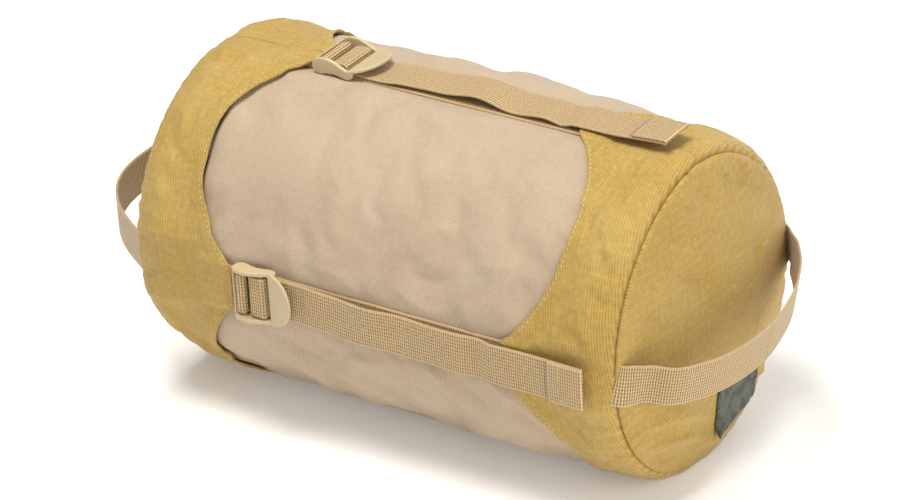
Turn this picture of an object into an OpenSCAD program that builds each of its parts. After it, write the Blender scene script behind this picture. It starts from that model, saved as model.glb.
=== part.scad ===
// Compression stuff sack lying on its side: a round fabric sack, a lid that slides over its
// mouth, four compression straps through ladder-lock buckles, and a webbing handle on each end.
// +X runs along the sack towards the base disc, +Z is up, and Z = 0 is the floor.

/* [Sack] */
// Outer radius of the barrel fabric
barrel_r = 98.5; // [90:0.5:110]
// Length from the crown seam of the lid to the seam of the base disc
sack_len = 320; // [280:1:360]
// Radius of the end discs at their seams
seam_r = 94; // [88:0.5:96]
// Height of the sack's centre line above the floor
axis_h = 94; // [90:0.5:96]
// Thickness of the coated fabric with its lining
fabric = 1.2; // [0.8:0.1:2]
// How far the base disc bulges at its centre
base_dome = 14; // [8:1:20]
// How far the crown of the lid bulges at its centre
lid_dome = 12; // [8:1:20]

/* [Lid and base band] */
// Length of the lid's skirt from the crown seam to its arm tips
lid_skirt_len = 72; // [60:1:90]
// Depth of the scallops in the lid's edge
lid_scallop = 30; // [15:1:34]
// Length of the base band from the disc seam to its arm tips
band_len = 68; // [55:1:90]
// Depth of the scallops in the base band's edge
band_scallop = 31; // [15:1:34]
// Half the angle one scallop takes around the sack
scallop_half = 37.5; // [30:0.5:38]
// Distance from the crown seam to the barrel's mouth
mouth_inset = 24; // [20:1:30]
// Width of the folded drawcord channel at the mouth
hem_w = 18; // [12:1:20]

/* [Webbing] */
// Width of all webbing
web_w = 25; // [20:1:25]
// Thickness of the webbing
web_t = 1.4; // [1:0.1:1.6]
// Length of the folded and sewn strap end
strap_end_len = 24; // [16:1:30]

/* [Buckles] */
// Width of a ladder lock
buckle_w = 33; // [31:0.5:34]
// Radius of the bar that holds the sewn tab
tab_bar_r = 1.7; // [1.4:0.1:1.8]
// Thickness of a side cheek
cheek_t = 2.4; // [2:0.1:3]
// Slope of the release plate
plate_slope = 15; // [8:1:16]

/* [Handles] */
// How far the base handle stands out from its seam
base_reach = 40; // [34:1:50]
// How far the base handle droops below level
base_droop = 11; // [0:1:15]
// How far the lid handle stands out from its seam
lid_reach = 60; // [50:1:70]

/* [Label] */
// Width of the sewn label
label_w = 50; // [30:1:55]
// Height of the sewn label
label_h = 40; // [25:1:42]

/* [Hidden] */
$fn = 96;

// Turn of each strap about the sack's centre line, from the top towards the front
TOP = 0;
FRONT = 90;
BOTTOM = 180;
BACK = 270;

// The handles differ in reach, so the seams sit off centre to centre the whole length on X = 0
base_out = (base_reach + web_t / 2) * cos(base_droop) + web_w / 2 * sin(base_droop);
lid_out = lid_reach + web_t / 2;
base_x = sack_len / 2 + (lid_out - base_out) / 2;
lid_x = base_x - sack_len;
lid_tip_x = lid_x + lid_skirt_len;
band_tip_x = base_x - band_len;
mouth_x = lid_x + mouth_inset;

// Growth of each fabric layer outwards from the barrel's outer face
web_gap = 0.3;
band_in = web_t + 2 * web_gap;
band_out = band_in + fabric;
lid_in = 3.3;
lid_out_grow = lid_in + fabric;

// How far the band and the skirt tuck in under the rim of their disc
seam_tuck = 0.8;

// Distance from the centre line down to each flat underside
barrel_flat = axis_h - fabric - 0.6;
strap_bed = 82.5;
trough_w = 36;
trough_flare = 6;
trough_end_x = base_x - 6;
lid_trough_x = lid_x + 18;

// Places along the buckle, counted from its rear end, and heights above the fabric under it
buckle_x = lid_tip_x + 3;
bar_at = [4.6, 5.2];
bar_rear_at = [13.2, 4.8];
bar_front_at = [18.6, 4.8];
bar_end_r = 1.4;
plate_at = [25, 4.2];
plate_t = 2.1;
strap_end_x = base_x - 12;
tail_grow = band_out + 0.4;

function strap_bed_at(turn) = turn == BOTTOM ? strap_bed : barrel_r;

// Radius of a rounded shoulder, where t runs from 0 at its full radius to 1 at its seam
function shoulder_r(full, seam, t) = seam + (full - seam) * sqrt(1 - t * t);

// Points (x, radius) of a tube that narrows over a shoulder to a seam
function shoulder_points(full, seam, start, end) =
    [for (i = [0:6]) [start + (end - start) * i / 6, shoulder_r(full, seam, i / 6)]];

// Solid of revolution about the sack's centre line from points (x, radius)
module spin(points) {
    translate([0, 0, axis_h])
        rotate([0, 90, 0])
            rotate_extrude($fn = 180)
                polygon([for (p = points) [p[1], p[0]]]);
}

// Places its children on a strap line, with Z pointing away from the centre line
module at_strap(turn) {
    translate([0, 0, axis_h])
        rotate([turn, 0, 0])
            children();
}

// Extrudes a 2D shape in (side, height) along X
module along_x(x0, x1) {
    translate([x0, 0, 0])
        rotate([90, 0, 90])
            linear_extrude(height = x1 - x0)
                children();
}

// Everything above a layer's flat underside
module above_flat(flat, x0, x1) {
    along_x(x0, x1)
        translate([-150, axis_h - flat])
            square([300, 300]);
}

// Lengthwise trough under the sack, where the bottom strap and its buckle lie
module trough(grow, x0, x1) {
    half = trough_w / 2 - grow;
    bed = axis_h - strap_bed - grow;
    along_x(x0, x1)
        polygon([
            [-half - trough_flare, bed - 12], [half + trough_flare, bed - 12],
            [half, bed], [-half, bed]
        ]);
}

// A filled layer of the sack: a round body with a flat underside and the strap trough
module layer(points, grow, flat, trough_x0, trough_x1) {
    difference() {
        intersection() {
            spin(points);
            above_flat(flat, lid_x - 60, base_x + 60);
        }
        trough(grow, trough_x0, trough_x1);
    }
}

// Barrel layer from x0 on, ending in the shoulder at the base seam
module barrel_layer(grow, x0) {
    points = concat(
        [[x0, 0], [x0, barrel_r + grow]],
        shoulder_points(barrel_r + grow, seam_r - 2.5 + grow, base_x - 20, base_x - 1.6),
        [[base_x - 1.6, 0]]
    );
    layer(points, grow, barrel_flat + grow, x0 - 1, trough_end_x - grow);
}

module band_layer(grow, flat, x0, x1) {
    seam = seam_r - seam_tuck + grow - band_out;
    points = concat(
        [[x0, 0], [x0, barrel_r + grow]],
        shoulder_points(barrel_r + grow, seam, base_x - 20, base_x - 0.1),
        [[x1, seam], [x1, 0]]
    );
    layer(points, grow, flat, x0 - 1, trough_end_x - grow);
}

module lid_layer(grow, flat, x0, x1) {
    full = barrel_r + grow;
    seam = seam_r - seam_tuck + grow - lid_out_grow;
    shoulder = [for (i = [0:6]) [lid_x + 22 * i / 6, shoulder_r(full, seam, 1 - i / 6)]];
    points = concat([[x0, 0], [x0, seam]], shoulder, [[x1, full], [x1, 0]]);
    layer(points, grow, flat, lid_trough_x - (lid_out_grow - grow), x1 + 1);
}

// Cuts four scallops into the edge whose arm tips are at tip_x; way is the side that is cut off
module scallops(tip_x, depth, way) {
    edge = [for (i = [-10:10])
        let (turn = scallop_half * i / 10)
        [
            tip_x + way * 0.5 - way * depth * pow(cos(90 * abs(i) / 10), 0.7),
            (barrel_r + lid_in) * sin(turn)
        ]
    ];
    side = (barrel_r + lid_in) * sin(scallop_half);
    outline = concat(edge, [[tip_x + way * 8, side], [tip_x + way * 8, -side]]);
    for (k = [0:3])
        at_strap(45 + 90 * k)
            translate([0, 0, 55])
                linear_extrude(height = 60)
                    polygon(outline);
}

// Domed disc of fabric on a seam; way is the side it bulges to
module dome(x, way, bulge, lift, thick, rim) {
    face = [for (i = [0:12])
        let (r = rim * i / 12)
        [x + way * (lift + bulge * (1 - pow(r / seam_r, 2))), r]
    ];
    back_face = [for (i = [12:-1:0]) [face[i][0] + way * thick, face[i][1]]];
    spin(concat(face, back_face));
}

// Strip of webbing lying along a strap line, with height points over the fabric under it
module strap_run(turn, lower) {
    bed = strap_bed_at(turn);
    upper = [for (i = [len(lower) - 1:-1:0]) lower[i] + [0, web_t]];
    outline = concat(lower, upper);
    if (turn == BOTTOM)
        at_strap(turn)
            rotate([90, 0, 0])
                linear_extrude(height = web_w, center = true)
                    polygon([for (p = outline) p + [0, bed]]);
    else
        intersection() {
            spin([for (p = outline) p + [0, bed]]);
            at_strap(turn)
                translate([-200, -web_w / 2, 0])
                    cube([400, web_w, 150]);
        }
}

// Places a side profile (along, height) of the buckle, extruded across the strap
module across_buckle(turn, width, offset = 0) {
    at_strap(turn)
        translate([buckle_x, offset, strap_bed_at(turn)])
            rotate([90, 0, 0])
                linear_extrude(height = width, center = true)
                    children();
}

// Standing height of a handle above its seam at the distance y from its middle
function arch_height(reach, half, power, y) = reach * (1 - pow(abs(y) / half, power));

function arch_point(reach, half, power, y, out) =
    let (
        slope = -reach * power / half * pow(abs(y) / half, power - 1) * sign(y),
        size = sqrt(1 + slope * slope)
    )
    [arch_height(reach, half, power, y) + out / size, y - out * slope / size];

// Webbing strip bent to part of a handle's arch, from y0 to y1
module arch_strip(reach, half, power, y0, y1, steps) {
    outer = [for (i = [0:steps])
        arch_point(reach, half, power, y0 + (y1 - y0) * i / steps, web_t / 2)];
    inner = [for (i = [steps:-1:0])
        arch_point(reach, half, power, y0 + (y1 - y0) * i / steps, -web_t / 2)];
    intersection() {
        linear_extrude(height = web_w, center = true)
            polygon(concat(outer, inner));
        translate([-10, min(y0, y1), -web_w])
            cube([100, abs(y1 - y0), 2 * web_w]);
    }
}

base_half = 93;
base_power = 2.6;
base_hinge_y = 78;
lid_half = 92;
lid_power = 2.8;
lid_hinge_y = 76;
handle_cut = 0.5;

module base_arch(y0, y1, steps) {
    color("burlywood")
        translate([base_x, 0, axis_h])
            rotate([0, base_droop, 0])
                arch_strip(base_reach, base_half, base_power, y0, y1, steps);
}

module lid_arch(y0, y1, steps) {
    color("burlywood")
        translate([lid_x, 0, axis_h])
            mirror([1, 0, 0])
                arch_strip(lid_reach, lid_half, lid_power, y0, y1, steps);
}

module barrel() {
    color("wheat")
        difference() {
            barrel_layer(0, mouth_x + hem_w + 0.2);
            barrel_layer(-fabric, mouth_x);
            translate([base_x - 1.8, -150, -60])
                cube([40, 300, 300]);
        }
}

// Folded channel for the drawcord, with the eyelet hole through its outer wall
module mouth_hem() {
    color("tan")
        difference() {
            intersection() {
                barrel_layer(0, mouth_x);
                along_x(mouth_x, mouth_x + hem_w)
                    translate([-150, -60])
                        square([300, 300]);
            }
            barrel_layer(-3 * fabric, mouth_x - 5);
            intersection() {
                difference() {
                    barrel_layer(-fabric, mouth_x);
                    barrel_layer(-2 * fabric, mouth_x - 1);
                }
                along_x(mouth_x + fabric, mouth_x + hem_w - fabric)
                    translate([-150, -60])
                        square([300, 300]);
            }
            at_strap(45)
                translate([mouth_x + hem_w / 2, 0, barrel_r - 1.8])
                    cylinder(h = 6, r = 3.6, $fn = 32);
        }
}

// Metal eyelet in the channel, where the drawcord comes out
module cord_eyelet() {
    color("goldenrod")
        at_strap(45)
            translate([mouth_x + hem_w / 2, 0, barrel_r])
                difference() {
                    union() {
                        translate([0, 0, -1.6])
                            cylinder(h = 2, r = 3.3, $fn = 32);
                        translate([0, 0, 0.2])
                            cylinder(h = 0.8, r = 5.5, $fn = 32);
                    }
                    translate([0, 0, -3])
                        cylinder(h = 6, r = 2.5, $fn = 32);
                }
}

module base_band() {
    color("darkgoldenrod")
        difference() {
            band_layer(band_out, axis_h, band_tip_x, base_x);
            band_layer(band_in, axis_h - fabric, band_tip_x - 5, base_x + 5);
            scallops(band_tip_x, band_scallop, -1);
        }
}

module base_panel() {
    color("goldenrod")
        dome(base_x, 1, base_dome, 0.1, fabric, seam_r - 0.2);
}

// Tape bound over the seam allowance inside the base, open where the trough runs
module base_binding() {
    color("dimgray")
        difference() {
            spin([
                [base_x - 12, seam_r - 6.4], [base_x - 2, seam_r - 6.4],
                [base_x - 2, seam_r - 4.8], [base_x - 12, seam_r - 4.8]
            ]);
            translate([base_x - 20, -28, -10])
                cube([30, 56, 40]);
        }
}

module base_label() {
    color("darkolivegreen")
        intersection() {
            dome(base_x, 1, base_dome, fabric + 0.3, 0.6, seam_r - 0.2);
            translate([base_x - 10, 21 - label_w / 2, axis_h - 58 - label_h / 2])
                cube([60, label_w, label_h]);
        }
}

module base_handle() {
    base_arch(-base_hinge_y, base_hinge_y, 28);
}

// One sewn end of the base handle, trimmed to lie on the domed disc; side is its side in Y
module base_handle_end(side) {
    near = side * (base_hinge_y + handle_cut);
    far = side * (base_half - 2);
    difference() {
        base_arch(min(near, far), max(near, far), 4);
        dome(base_x, 1, base_dome, -10, 10.3 + fabric, seam_r);
    }
}

module base_handle_end_front() {
    color("burlywood") base_handle_end(-1);
}

module base_handle_end_back() {
    color("burlywood") base_handle_end(1);
}

module lid_skirt() {
    color("darkgoldenrod")
        difference() {
            lid_layer(lid_out_grow, axis_h, lid_x, lid_tip_x);
            lid_layer(lid_in, axis_h - fabric, lid_x - 5, lid_tip_x + 5);
            scallops(lid_tip_x, lid_scallop, 1);
        }
}

module lid_panel() {
    color("goldenrod")
        dome(lid_x, -1, lid_dome, 0.1, fabric, seam_r - 0.2);
}

module lid_binding() {
    color("dimgray")
        spin([
            [lid_x + 1, seam_r - 4.2], [lid_x + 10, seam_r - 4.2],
            [lid_x + 10, seam_r - 2.6], [lid_x + 1, seam_r - 2.6]
        ]);
}

module lid_handle() {
    lid_arch(-lid_hinge_y, lid_hinge_y, 28);
}

module lid_handle_end_front() {
    lid_arch(-lid_half + 2, -lid_hinge_y - handle_cut, 4);
}

module lid_handle_end_back() {
    lid_arch(lid_hinge_y + handle_cut, lid_half - 2, 4);
}

// The stretch of a strap that carries the load, from under the base band to the buckle
module load_strap(turn) {
    color("burlywood")
        strap_run(turn, [[buckle_x + 9.4, web_gap], [band_tip_x + 14, web_gap]]);
}

// Webbing tab sewn under the lid's arm and looped around the buckle's rear bar
module buckle_tab(turn) {
    color("peru")
        across_buckle(turn, web_w)
            difference() {
                union() {
                    translate(bar_at)
                        circle(r = tab_bar_r + 0.3 + web_t, $fn = 48);
                    translate([-18, 0.5])
                        square([18 + bar_at[0], 1.8]);
                }
                translate(bar_at)
                    circle(r = tab_bar_r + 0.3, $fn = 48);
            }
}

module cheek_profile() {
    rear = [for (a = [150:24:270]) bar_at + 4.6 * [cos(a), sin(a)]];
    polygon(concat(rear, [
        [8, 1.3], [11, 2.1], [15, 2.2], [19, 1.4], [21.5, 0.6], [25, 0.7], [27, 2.2], [27, 4.6],
        [24, 5.6], [20, 7.4], [16, 9.3], [12, 10.6], [8, 11], [4, 10.2], [1.6, 9]
    ]));
}

// One-piece moulded buckle: two cheeks, rear rim, tab bar, middle bar and release plate
module ladder_lock(turn) {
    inside_w = buckle_w - 2 * cheek_t + 0.4;
    color("khaki") {
        for (side = [-1, 1])
            across_buckle(turn, cheek_t, side * (buckle_w - cheek_t) / 2)
                cheek_profile();
        across_buckle(turn, inside_w) {
            translate([0.1, 6.8])
                square([1.3, 1.6]);
            translate(bar_at)
                circle(r = tab_bar_r, $fn = 48);
            translate(bar_rear_at)
                circle(r = bar_end_r, $fn = 32);
            translate(bar_front_at)
                circle(r = bar_end_r, $fn = 32);
            translate(bar_rear_at - [0, bar_end_r])
                square([bar_front_at[0] - bar_rear_at[0], 2 * bar_end_r]);
        }
        at_strap(turn)
            translate([buckle_x + plate_at[0], 0, strap_bed_at(turn) + plate_at[1]])
                rotate([0, -plate_slope, 0])
                    intersection() {
                        cylinder(h = plate_t, r = buckle_w / 2, $fn = 96);
                        translate([-0.6, -buckle_w / 2, 0])
                            cube([buckle_w, buckle_w, plate_t]);
                    }
    }
}

// The short stretch of a strap that goes up and over the buckle's middle bar
module strap_wrap(turn) {
    inner_r = bar_end_r + web_gap;
    outer_r = inner_r + web_t;
    top_h = bar_rear_at[1];
    color("burlywood")
        across_buckle(turn, web_w) {
            for (end = [[bar_rear_at, -1], [bar_front_at, 1]]) {
                intersection() {
                    translate(end[0])
                        difference() {
                            circle(r = outer_r, $fn = 48);
                            circle(r = inner_r, $fn = 48);
                        }
                    translate(end[0] + [end[1] < 0 ? -outer_r : 0, 0])
                        square([outer_r, outer_r]);
                }
                translate([end[0][0] + (end[1] < 0 ? -outer_r : inner_r), 2.1])
                    square([web_t, top_h - 2.1]);
            }
            translate(bar_rear_at + [0, inner_r])
                square([bar_front_at[0] - bar_rear_at[0], web_t]);
        }
}

// The free tail of a strap, from under the release plate to its folded end
module strap_tail(turn) {
    low = web_gap + web_t + 0.3;
    color("burlywood")
        strap_run(turn, [
            [buckle_x + 22.3, low], [band_tip_x - 12, low],
            [band_tip_x - 4, tail_grow], [strap_end_x - strap_end_len - 0.3, tail_grow]
        ]);
}

// The folded and sewn end of a strap, two layers thick
module strap_end(turn) {
    bed = strap_bed_at(turn) + tail_grow;
    thick = 2 * web_t + 0.2;
    color("peru")
        if (turn == BOTTOM)
            at_strap(turn)
                translate([strap_end_x - strap_end_len, -web_w / 2, bed])
                    cube([strap_end_len, web_w, thick]);
        else
            intersection() {
                spin([
                    [strap_end_x - strap_end_len, bed], [strap_end_x, bed],
                    [strap_end_x, bed + thick], [strap_end_x - strap_end_len, bed + thick]
                ]);
                at_strap(turn)
                    translate([0, -web_w / 2, 0])
                        cube([200, web_w, 150]);
            }
}

barrel();
mouth_hem();
cord_eyelet();
base_band();
base_panel();
base_binding();
base_label();
base_handle();
base_handle_end_front();
base_handle_end_back();
lid_skirt();
lid_panel();
lid_binding();
lid_handle();
lid_handle_end_front();
lid_handle_end_back();
load_strap(TOP);  // load_strap_top
load_strap(FRONT);  // load_strap_front
load_strap(BOTTOM);  // load_strap_bottom
load_strap(BACK);  // load_strap_back
buckle_tab(TOP);  // buckle_tab_top
buckle_tab(FRONT);  // buckle_tab_front
buckle_tab(BOTTOM);  // buckle_tab_bottom
buckle_tab(BACK);  // buckle_tab_back
ladder_lock(TOP);  // ladder_lock_top
ladder_lock(FRONT);  // ladder_lock_front
ladder_lock(BOTTOM);  // ladder_lock_bottom
ladder_lock(BACK);  // ladder_lock_back
strap_wrap(TOP);  // strap_wrap_top
strap_wrap(FRONT);  // strap_wrap_front
strap_wrap(BOTTOM);  // strap_wrap_bottom
strap_wrap(BACK);  // strap_wrap_back
strap_tail(TOP);  // strap_tail_top
strap_tail(FRONT);  // strap_tail_front
strap_tail(BOTTOM);  // strap_tail_bottom
strap_tail(BACK);  // strap_tail_back
strap_end(TOP);  // strap_end_top
strap_end(FRONT);  // strap_end_front
strap_end(BOTTOM);  // strap_end_bottom
strap_end(BACK);  // strap_end_back
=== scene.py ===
import math

import bmesh
import bpy
import numpy as np
from mathutils import Matrix, Vector


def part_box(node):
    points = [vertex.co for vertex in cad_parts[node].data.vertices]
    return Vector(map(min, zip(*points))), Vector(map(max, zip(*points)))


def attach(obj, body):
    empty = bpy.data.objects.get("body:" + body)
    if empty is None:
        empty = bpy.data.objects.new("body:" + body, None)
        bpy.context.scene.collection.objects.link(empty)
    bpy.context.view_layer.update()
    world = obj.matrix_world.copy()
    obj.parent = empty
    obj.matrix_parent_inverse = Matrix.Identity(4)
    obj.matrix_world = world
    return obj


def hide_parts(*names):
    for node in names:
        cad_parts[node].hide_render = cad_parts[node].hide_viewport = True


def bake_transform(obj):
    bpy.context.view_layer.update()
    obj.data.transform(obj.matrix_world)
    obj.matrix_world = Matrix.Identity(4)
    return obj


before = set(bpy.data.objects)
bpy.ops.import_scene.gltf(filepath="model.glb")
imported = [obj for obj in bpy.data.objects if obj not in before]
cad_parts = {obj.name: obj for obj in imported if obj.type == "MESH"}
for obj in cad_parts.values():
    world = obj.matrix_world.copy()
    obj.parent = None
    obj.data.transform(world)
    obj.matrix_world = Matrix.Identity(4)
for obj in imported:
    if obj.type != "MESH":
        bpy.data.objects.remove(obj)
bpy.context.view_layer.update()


# ---------------------------------------------------------------------------------------
# Where the sack lies
# The sack lies on its side on a plain floor. Its centre line runs along X at one height,
# and the camera stands in front, to the right and above, a little tilted.
# ---------------------------------------------------------------------------------------
def box_mm(node):
    """Lowest and highest corner of a CAD node, in millimetres."""
    low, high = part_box(node)
    return np.array(low) * 1000, np.array(high) * 1000


disc_low, disc_high = box_mm("base_panel")
crown_low, crown_high = box_mm("lid_panel")
centre_h = (disc_low[2] + disc_high[2]) / 2
base_seam = disc_low[0]
crown_seam = crown_high[0]
seam_r = (disc_high[1] - disc_low[1]) / 2

camera_turn = math.radians(35.17)
camera_rise = math.radians(28.41)
camera_tilt = math.radians(3.45)
camera_distance = 2.525
aim = np.array([0.0022, 0.0, centre_h / 1000])

back = np.array([
    math.sin(camera_turn) * math.cos(camera_rise),
    -math.cos(camera_turn) * math.cos(camera_rise),
    math.sin(camera_rise),
])
level_right = np.array([math.cos(camera_turn), math.sin(camera_turn), 0.0])
level_up = np.cross(back, level_right)
view_right = math.cos(camera_tilt) * level_right - math.sin(camera_tilt) * level_up
view_up = math.sin(camera_tilt) * level_right + math.cos(camera_tilt) * level_up
place = Matrix.Identity(4)
for row in range(3):
    place[row][0], place[row][1], place[row][2] = view_right[row], view_up[row], back[row]
    place[row][3] = aim[row] + back[row] * camera_distance

camera_data = bpy.data.cameras.new("camera")
camera_data.lens = 175.8
camera_data.sensor_width = 36
camera_data.shift_x = -0.0014
camera_data.shift_y = -0.0078
camera_data.clip_start = 0.1
camera_data.clip_end = 60
camera = bpy.data.objects.new("camera", camera_data)
camera.matrix_world = place
bpy.context.scene.collection.objects.link(camera)
bpy.context.scene.camera = camera


# ---------------------------------------------------------------------------------------
# Studio floor and light
# A pale matt sweep of paper under one large soft box overhead, a weaker one low on the
# right, a low light from behind, and an even pale sky.
# ---------------------------------------------------------------------------------------
def linear(hex_colour):
    """sRGB hex colour as linear RGBA."""
    parts = [int(hex_colour[i:i + 2], 16) / 255 for i in (1, 3, 5)]
    return [c / 12.92 if c <= 0.04045 else ((c + 0.055) / 1.055) ** 2.4 for c in parts] + [1.0]


def connect(tree, node, links):
    """Links a node's inputs to other nodes, or sets their values."""
    for name, value in links.items():
        if isinstance(value, bpy.types.NodeSocket):
            tree.links.new(value, node.inputs[name])
        else:
            node.inputs[name].default_value = value


def add(tree, kind, links=None, **settings):
    """Adds a node, sets its properties and values, and links its inputs."""
    node = tree.nodes.new(kind)
    for name, value in settings.items():
        setattr(node, name, value)
    connect(tree, node, links or {})
    return node


def start_material(name):
    """New node material with its Principled shader."""
    material = bpy.data.materials.new(name)
    material.use_nodes = True
    return material, material.node_tree, material.node_tree.nodes["Principled BSDF"]


# Matt paper on a light table: no gloss, a tooth of about 1 mm that only just breaks up the
# light, and a weak glow that keeps shadows pale
paper, paper_tree, paper_shader = start_material("matt_white_paper")
grain = add(paper_tree, "ShaderNodeTexNoise", {"Scale": 900.0, "Detail": 3.0})
grain_bump = add(paper_tree, "ShaderNodeBump",
                 {"Height": grain.outputs["Fac"], "Strength": 0.2, "Distance": 0.0002})
connect(paper_tree, paper_shader, {
    "Base Color": linear("#F6F5F3"), "Normal": grain_bump.outputs["Normal"], "Roughness": 0.9,
    "Emission Color": linear("#FFFFFF"), "Emission Strength": 0.16})

floor_half = 14.0
floor_mesh = bpy.data.meshes.new("floor")
floor_mesh.from_pydata(
    [(-floor_half, -floor_half, 0), (floor_half, -floor_half, 0),
     (floor_half, floor_half, 0), (-floor_half, floor_half, 0)], [], [(0, 1, 2, 3)])
floor_mesh.materials.append(paper)
floor = bpy.data.objects.new("floor", floor_mesh)
bpy.context.scene.collection.objects.link(floor)

sky = bpy.data.worlds.new("pale_sky")
sky.use_nodes = True
sky.node_tree.nodes["Background"].inputs["Color"].default_value = linear("#FFFFFF")
sky.node_tree.nodes["Background"].inputs["Strength"].default_value = 0.30
bpy.context.scene.world = sky

for light_name, position, size, power, colour in (
    ("key_light", (-0.15, -0.35, 2.1), 0.9, 43.0, "#FFFDF8"),
    ("fill_light", (2.1, -0.45, 0.9), 1.8, 27.0, "#FFFFFF"),
    ("rim_light", (-0.2, 1.9, 1.2), 1.4, 12.0, "#FFFFFF"),
):
    light_data = bpy.data.lights.new(light_name, "AREA")
    light_data.shape = "SQUARE"
    light_data.size = size
    light_data.energy = power
    light_data.color = linear(colour)[:3]
    lamp = bpy.data.objects.new(light_name, light_data)
    facing = (Vector(position) - Vector(aim)).to_track_quat("Z", "Y")
    lamp.matrix_world = Matrix.Translation(position) @ facing.to_matrix().to_4x4()
    bpy.context.scene.collection.objects.link(lamp)
bpy.context.scene.view_settings.view_transform = "Standard"


# ---------------------------------------------------------------------------------------
# The stuffed form
# Every fabric panel is held out by the same stuffed contents: a round form that rounds off
# to its two end seams, sinks in along the four straps, and lies flat on the floor. The
# bottom strap and its buckle lie in a lengthwise dent, so that they carry no weight.
# ---------------------------------------------------------------------------------------
strap_turns = {"top": 0.0, "front": math.pi / 2, "bottom": math.pi, "back": 1.5 * math.pi}
web_thick = 1.4
strap_gap = 0.3
round_bed = box_mm("load_strap_top")[1][2] - centre_h - web_thick - strap_gap
under_bed = centre_h - box_mm("load_strap_bottom")[0][2] - web_thick - strap_gap
mouth_x = box_mm("mouth_hem")[0][0]


def ease(start, end, value):
    """Smooth step from 0 at start to 1 at end."""
    t = np.clip((value - start) / (end - start), 0, 1)
    return t * t * (3 - 2 * t)


def soft_min(a, b, blend_mm):
    """The smaller of two distances, with a rounded change-over."""
    h = np.clip(0.5 + 0.5 * (b - a) / blend_mm, 0, 1)
    return b + (a - b) * h - blend_mm * h * (1 - h)


# Distances round the sack are measured as if its fabric were unrolled from this radius in mm
unrolled_r = 100


def from_strap(turn):
    """Distance in mm round the sack from the nearest strap line."""
    quarter = math.pi / 2
    return np.abs((turn + quarter / 2) % quarter - quarter / 2) * unrolled_r


def lumps(x, turn, seed):
    """Slow uneven swell of stuffed fabric, about -1 to 1."""
    total = 0.0
    for count, pitch, phase in ((1, 0.011, 0.3), (2, 0.017, 1.9), (3, 0.024, 4.1), (5, 0.013, 2.2),
                                (4, 0.035, 5.3), (7, 0.028, 0.9), (6, 0.047, 3.6)):
        total = total + np.sin(count * turn + pitch * x + phase + seed * count) / (1 + 0.25 * count)
    return total / 2.2


def puckers(turn, away, seed, reach):
    """Small gathers at a seam that fade out away from it."""
    swing = 1.6 * np.sin(3 * turn + seed) + 1.1 * np.sin(7 * turn + 2 * seed)
    fine = np.sin(46 * turn + swing * 2 + seed) + 0.7 * np.sin(71 * turn - swing * 3 + 1.7 * seed)
    uneven = 0.55 + 0.45 * np.sin(5 * turn + 1.3 * seed) * np.sin(2 * turn + seed)
    return fine * uneven * np.exp(-np.maximum(away, 0) / reach)


def creases(across, along, lines):
    """Sum of creases: each a ridge or valley between two points that runs out at both ends.
    A line is (across, along) of both ends, its half width and its height, all in mm."""
    total = np.zeros(np.broadcast(across, along).shape)
    for a0, b0, a1, b1, half, height in lines:
        length = math.hypot(a1 - a0, b1 - b0)
        t = ((across - a0) * (a1 - a0) + (along - b0) * (b1 - b0)) / length ** 2
        off = ((across - a0) * (b1 - b0) - (along - b0) * (a1 - a0)) / length
        off = off + 0.12 * length * np.sin(math.pi * np.clip(t, 0, 1)) * (1 if height > 0 else -1)
        fade = np.clip(1 - np.abs(2 * t - 1) ** 2.2, 0, 1)
        total += height * fade * np.exp(-np.abs(off / half) ** 1.3)
    return total


def wrapped(lines):
    """Creases given as (x, turn in degrees) at both ends, half width and height, in mm."""
    return [(math.radians(t0) * unrolled_r, x0, math.radians(t1) * unrolled_r, x1, half, height)
            for x0, t0, x1, t1, half, height in lines]


def scattered(seed, count, x_range, turn_range, size):
    """Small random creases that lie mostly slantwise, for fabric that was handled."""
    random = np.random.default_rng(seed)
    lines = []
    for _ in range(count):
        x, turn = random.uniform(*x_range), random.uniform(*turn_range)
        slant, length = random.uniform(-1.1, 1.1), random.uniform(14, 42)
        lines.append((x, turn, x + length * math.cos(slant),
                      turn + math.degrees(length * math.sin(slant) / unrolled_r),
                      random.uniform(2.6, 6.0),
                      size * random.uniform(0.4, 1.0) * random.choice((-1, 1))))
    return lines


# Creases in the barrel: soft dimples in the middle of the front panel, drag lines under the
# front strap, and small handling marks all round
barrel_creases = wrapped([
    (-38, 62, -24, 73, 5.0, -1.5), (-22, 60, -10, 70, 5.5, -1.6), (-30, 76, 10, 82, 7.0, 1.1),
    (20, 72, 62, 52, 6.0, 1.3), (36, 70, 70, 66, 5.0, -1.3), (62, 70, 110, 60, 5.5, 1.4),
    (70, 75, 92, 64, 4.0, -1.1), (64, 84, 72, 74, 4.5, -1.2), (24, 76, 46, 80, 5.0, 1.0),
    (-12, 55, -4, 62, 6.0, -1.1), (98, 52, 108, 44, 5.0, 0.9),
    (16, 96, 36, 120, 4.5, 1.9), (24, 96, 48, 118, 4.0, -1.7), (44, 98, 70, 120, 5.0, 1.6),
    (66, 97, 92, 116, 4.5, -1.6), (84, 98, 112, 112, 4.5, 1.7), (100, 100, 124, 120, 4.5, -1.8),
    (58, 128, 112, 136, 5.5, 1.6), (70, 140, 116, 146, 5.0, -1.4), (-30, 118, 20, 128, 7.0, 1.2),
    (-60, 104, -20, 116, 6.0, -1.2), (20, 20, 60, 34, 9.0, 0.8), (-20, 24, 26, 14, 7.0, 0.8),
    (30, 230, 90, 242, 7.0, 1.3), (-60, 300, -10, 292, 8.0, -1.4), (0, 330, 60, 322, 8.0, 1.2),
    (-30, 205, 20, 212, 7.0, 1.3), (60, 300, 96, 318, 5.0, -1.3), (10, 345, 50, 336, 6.0, 1.1),
] + scattered(4, 46, (-95, 110), (0, 345), 0.9))


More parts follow.
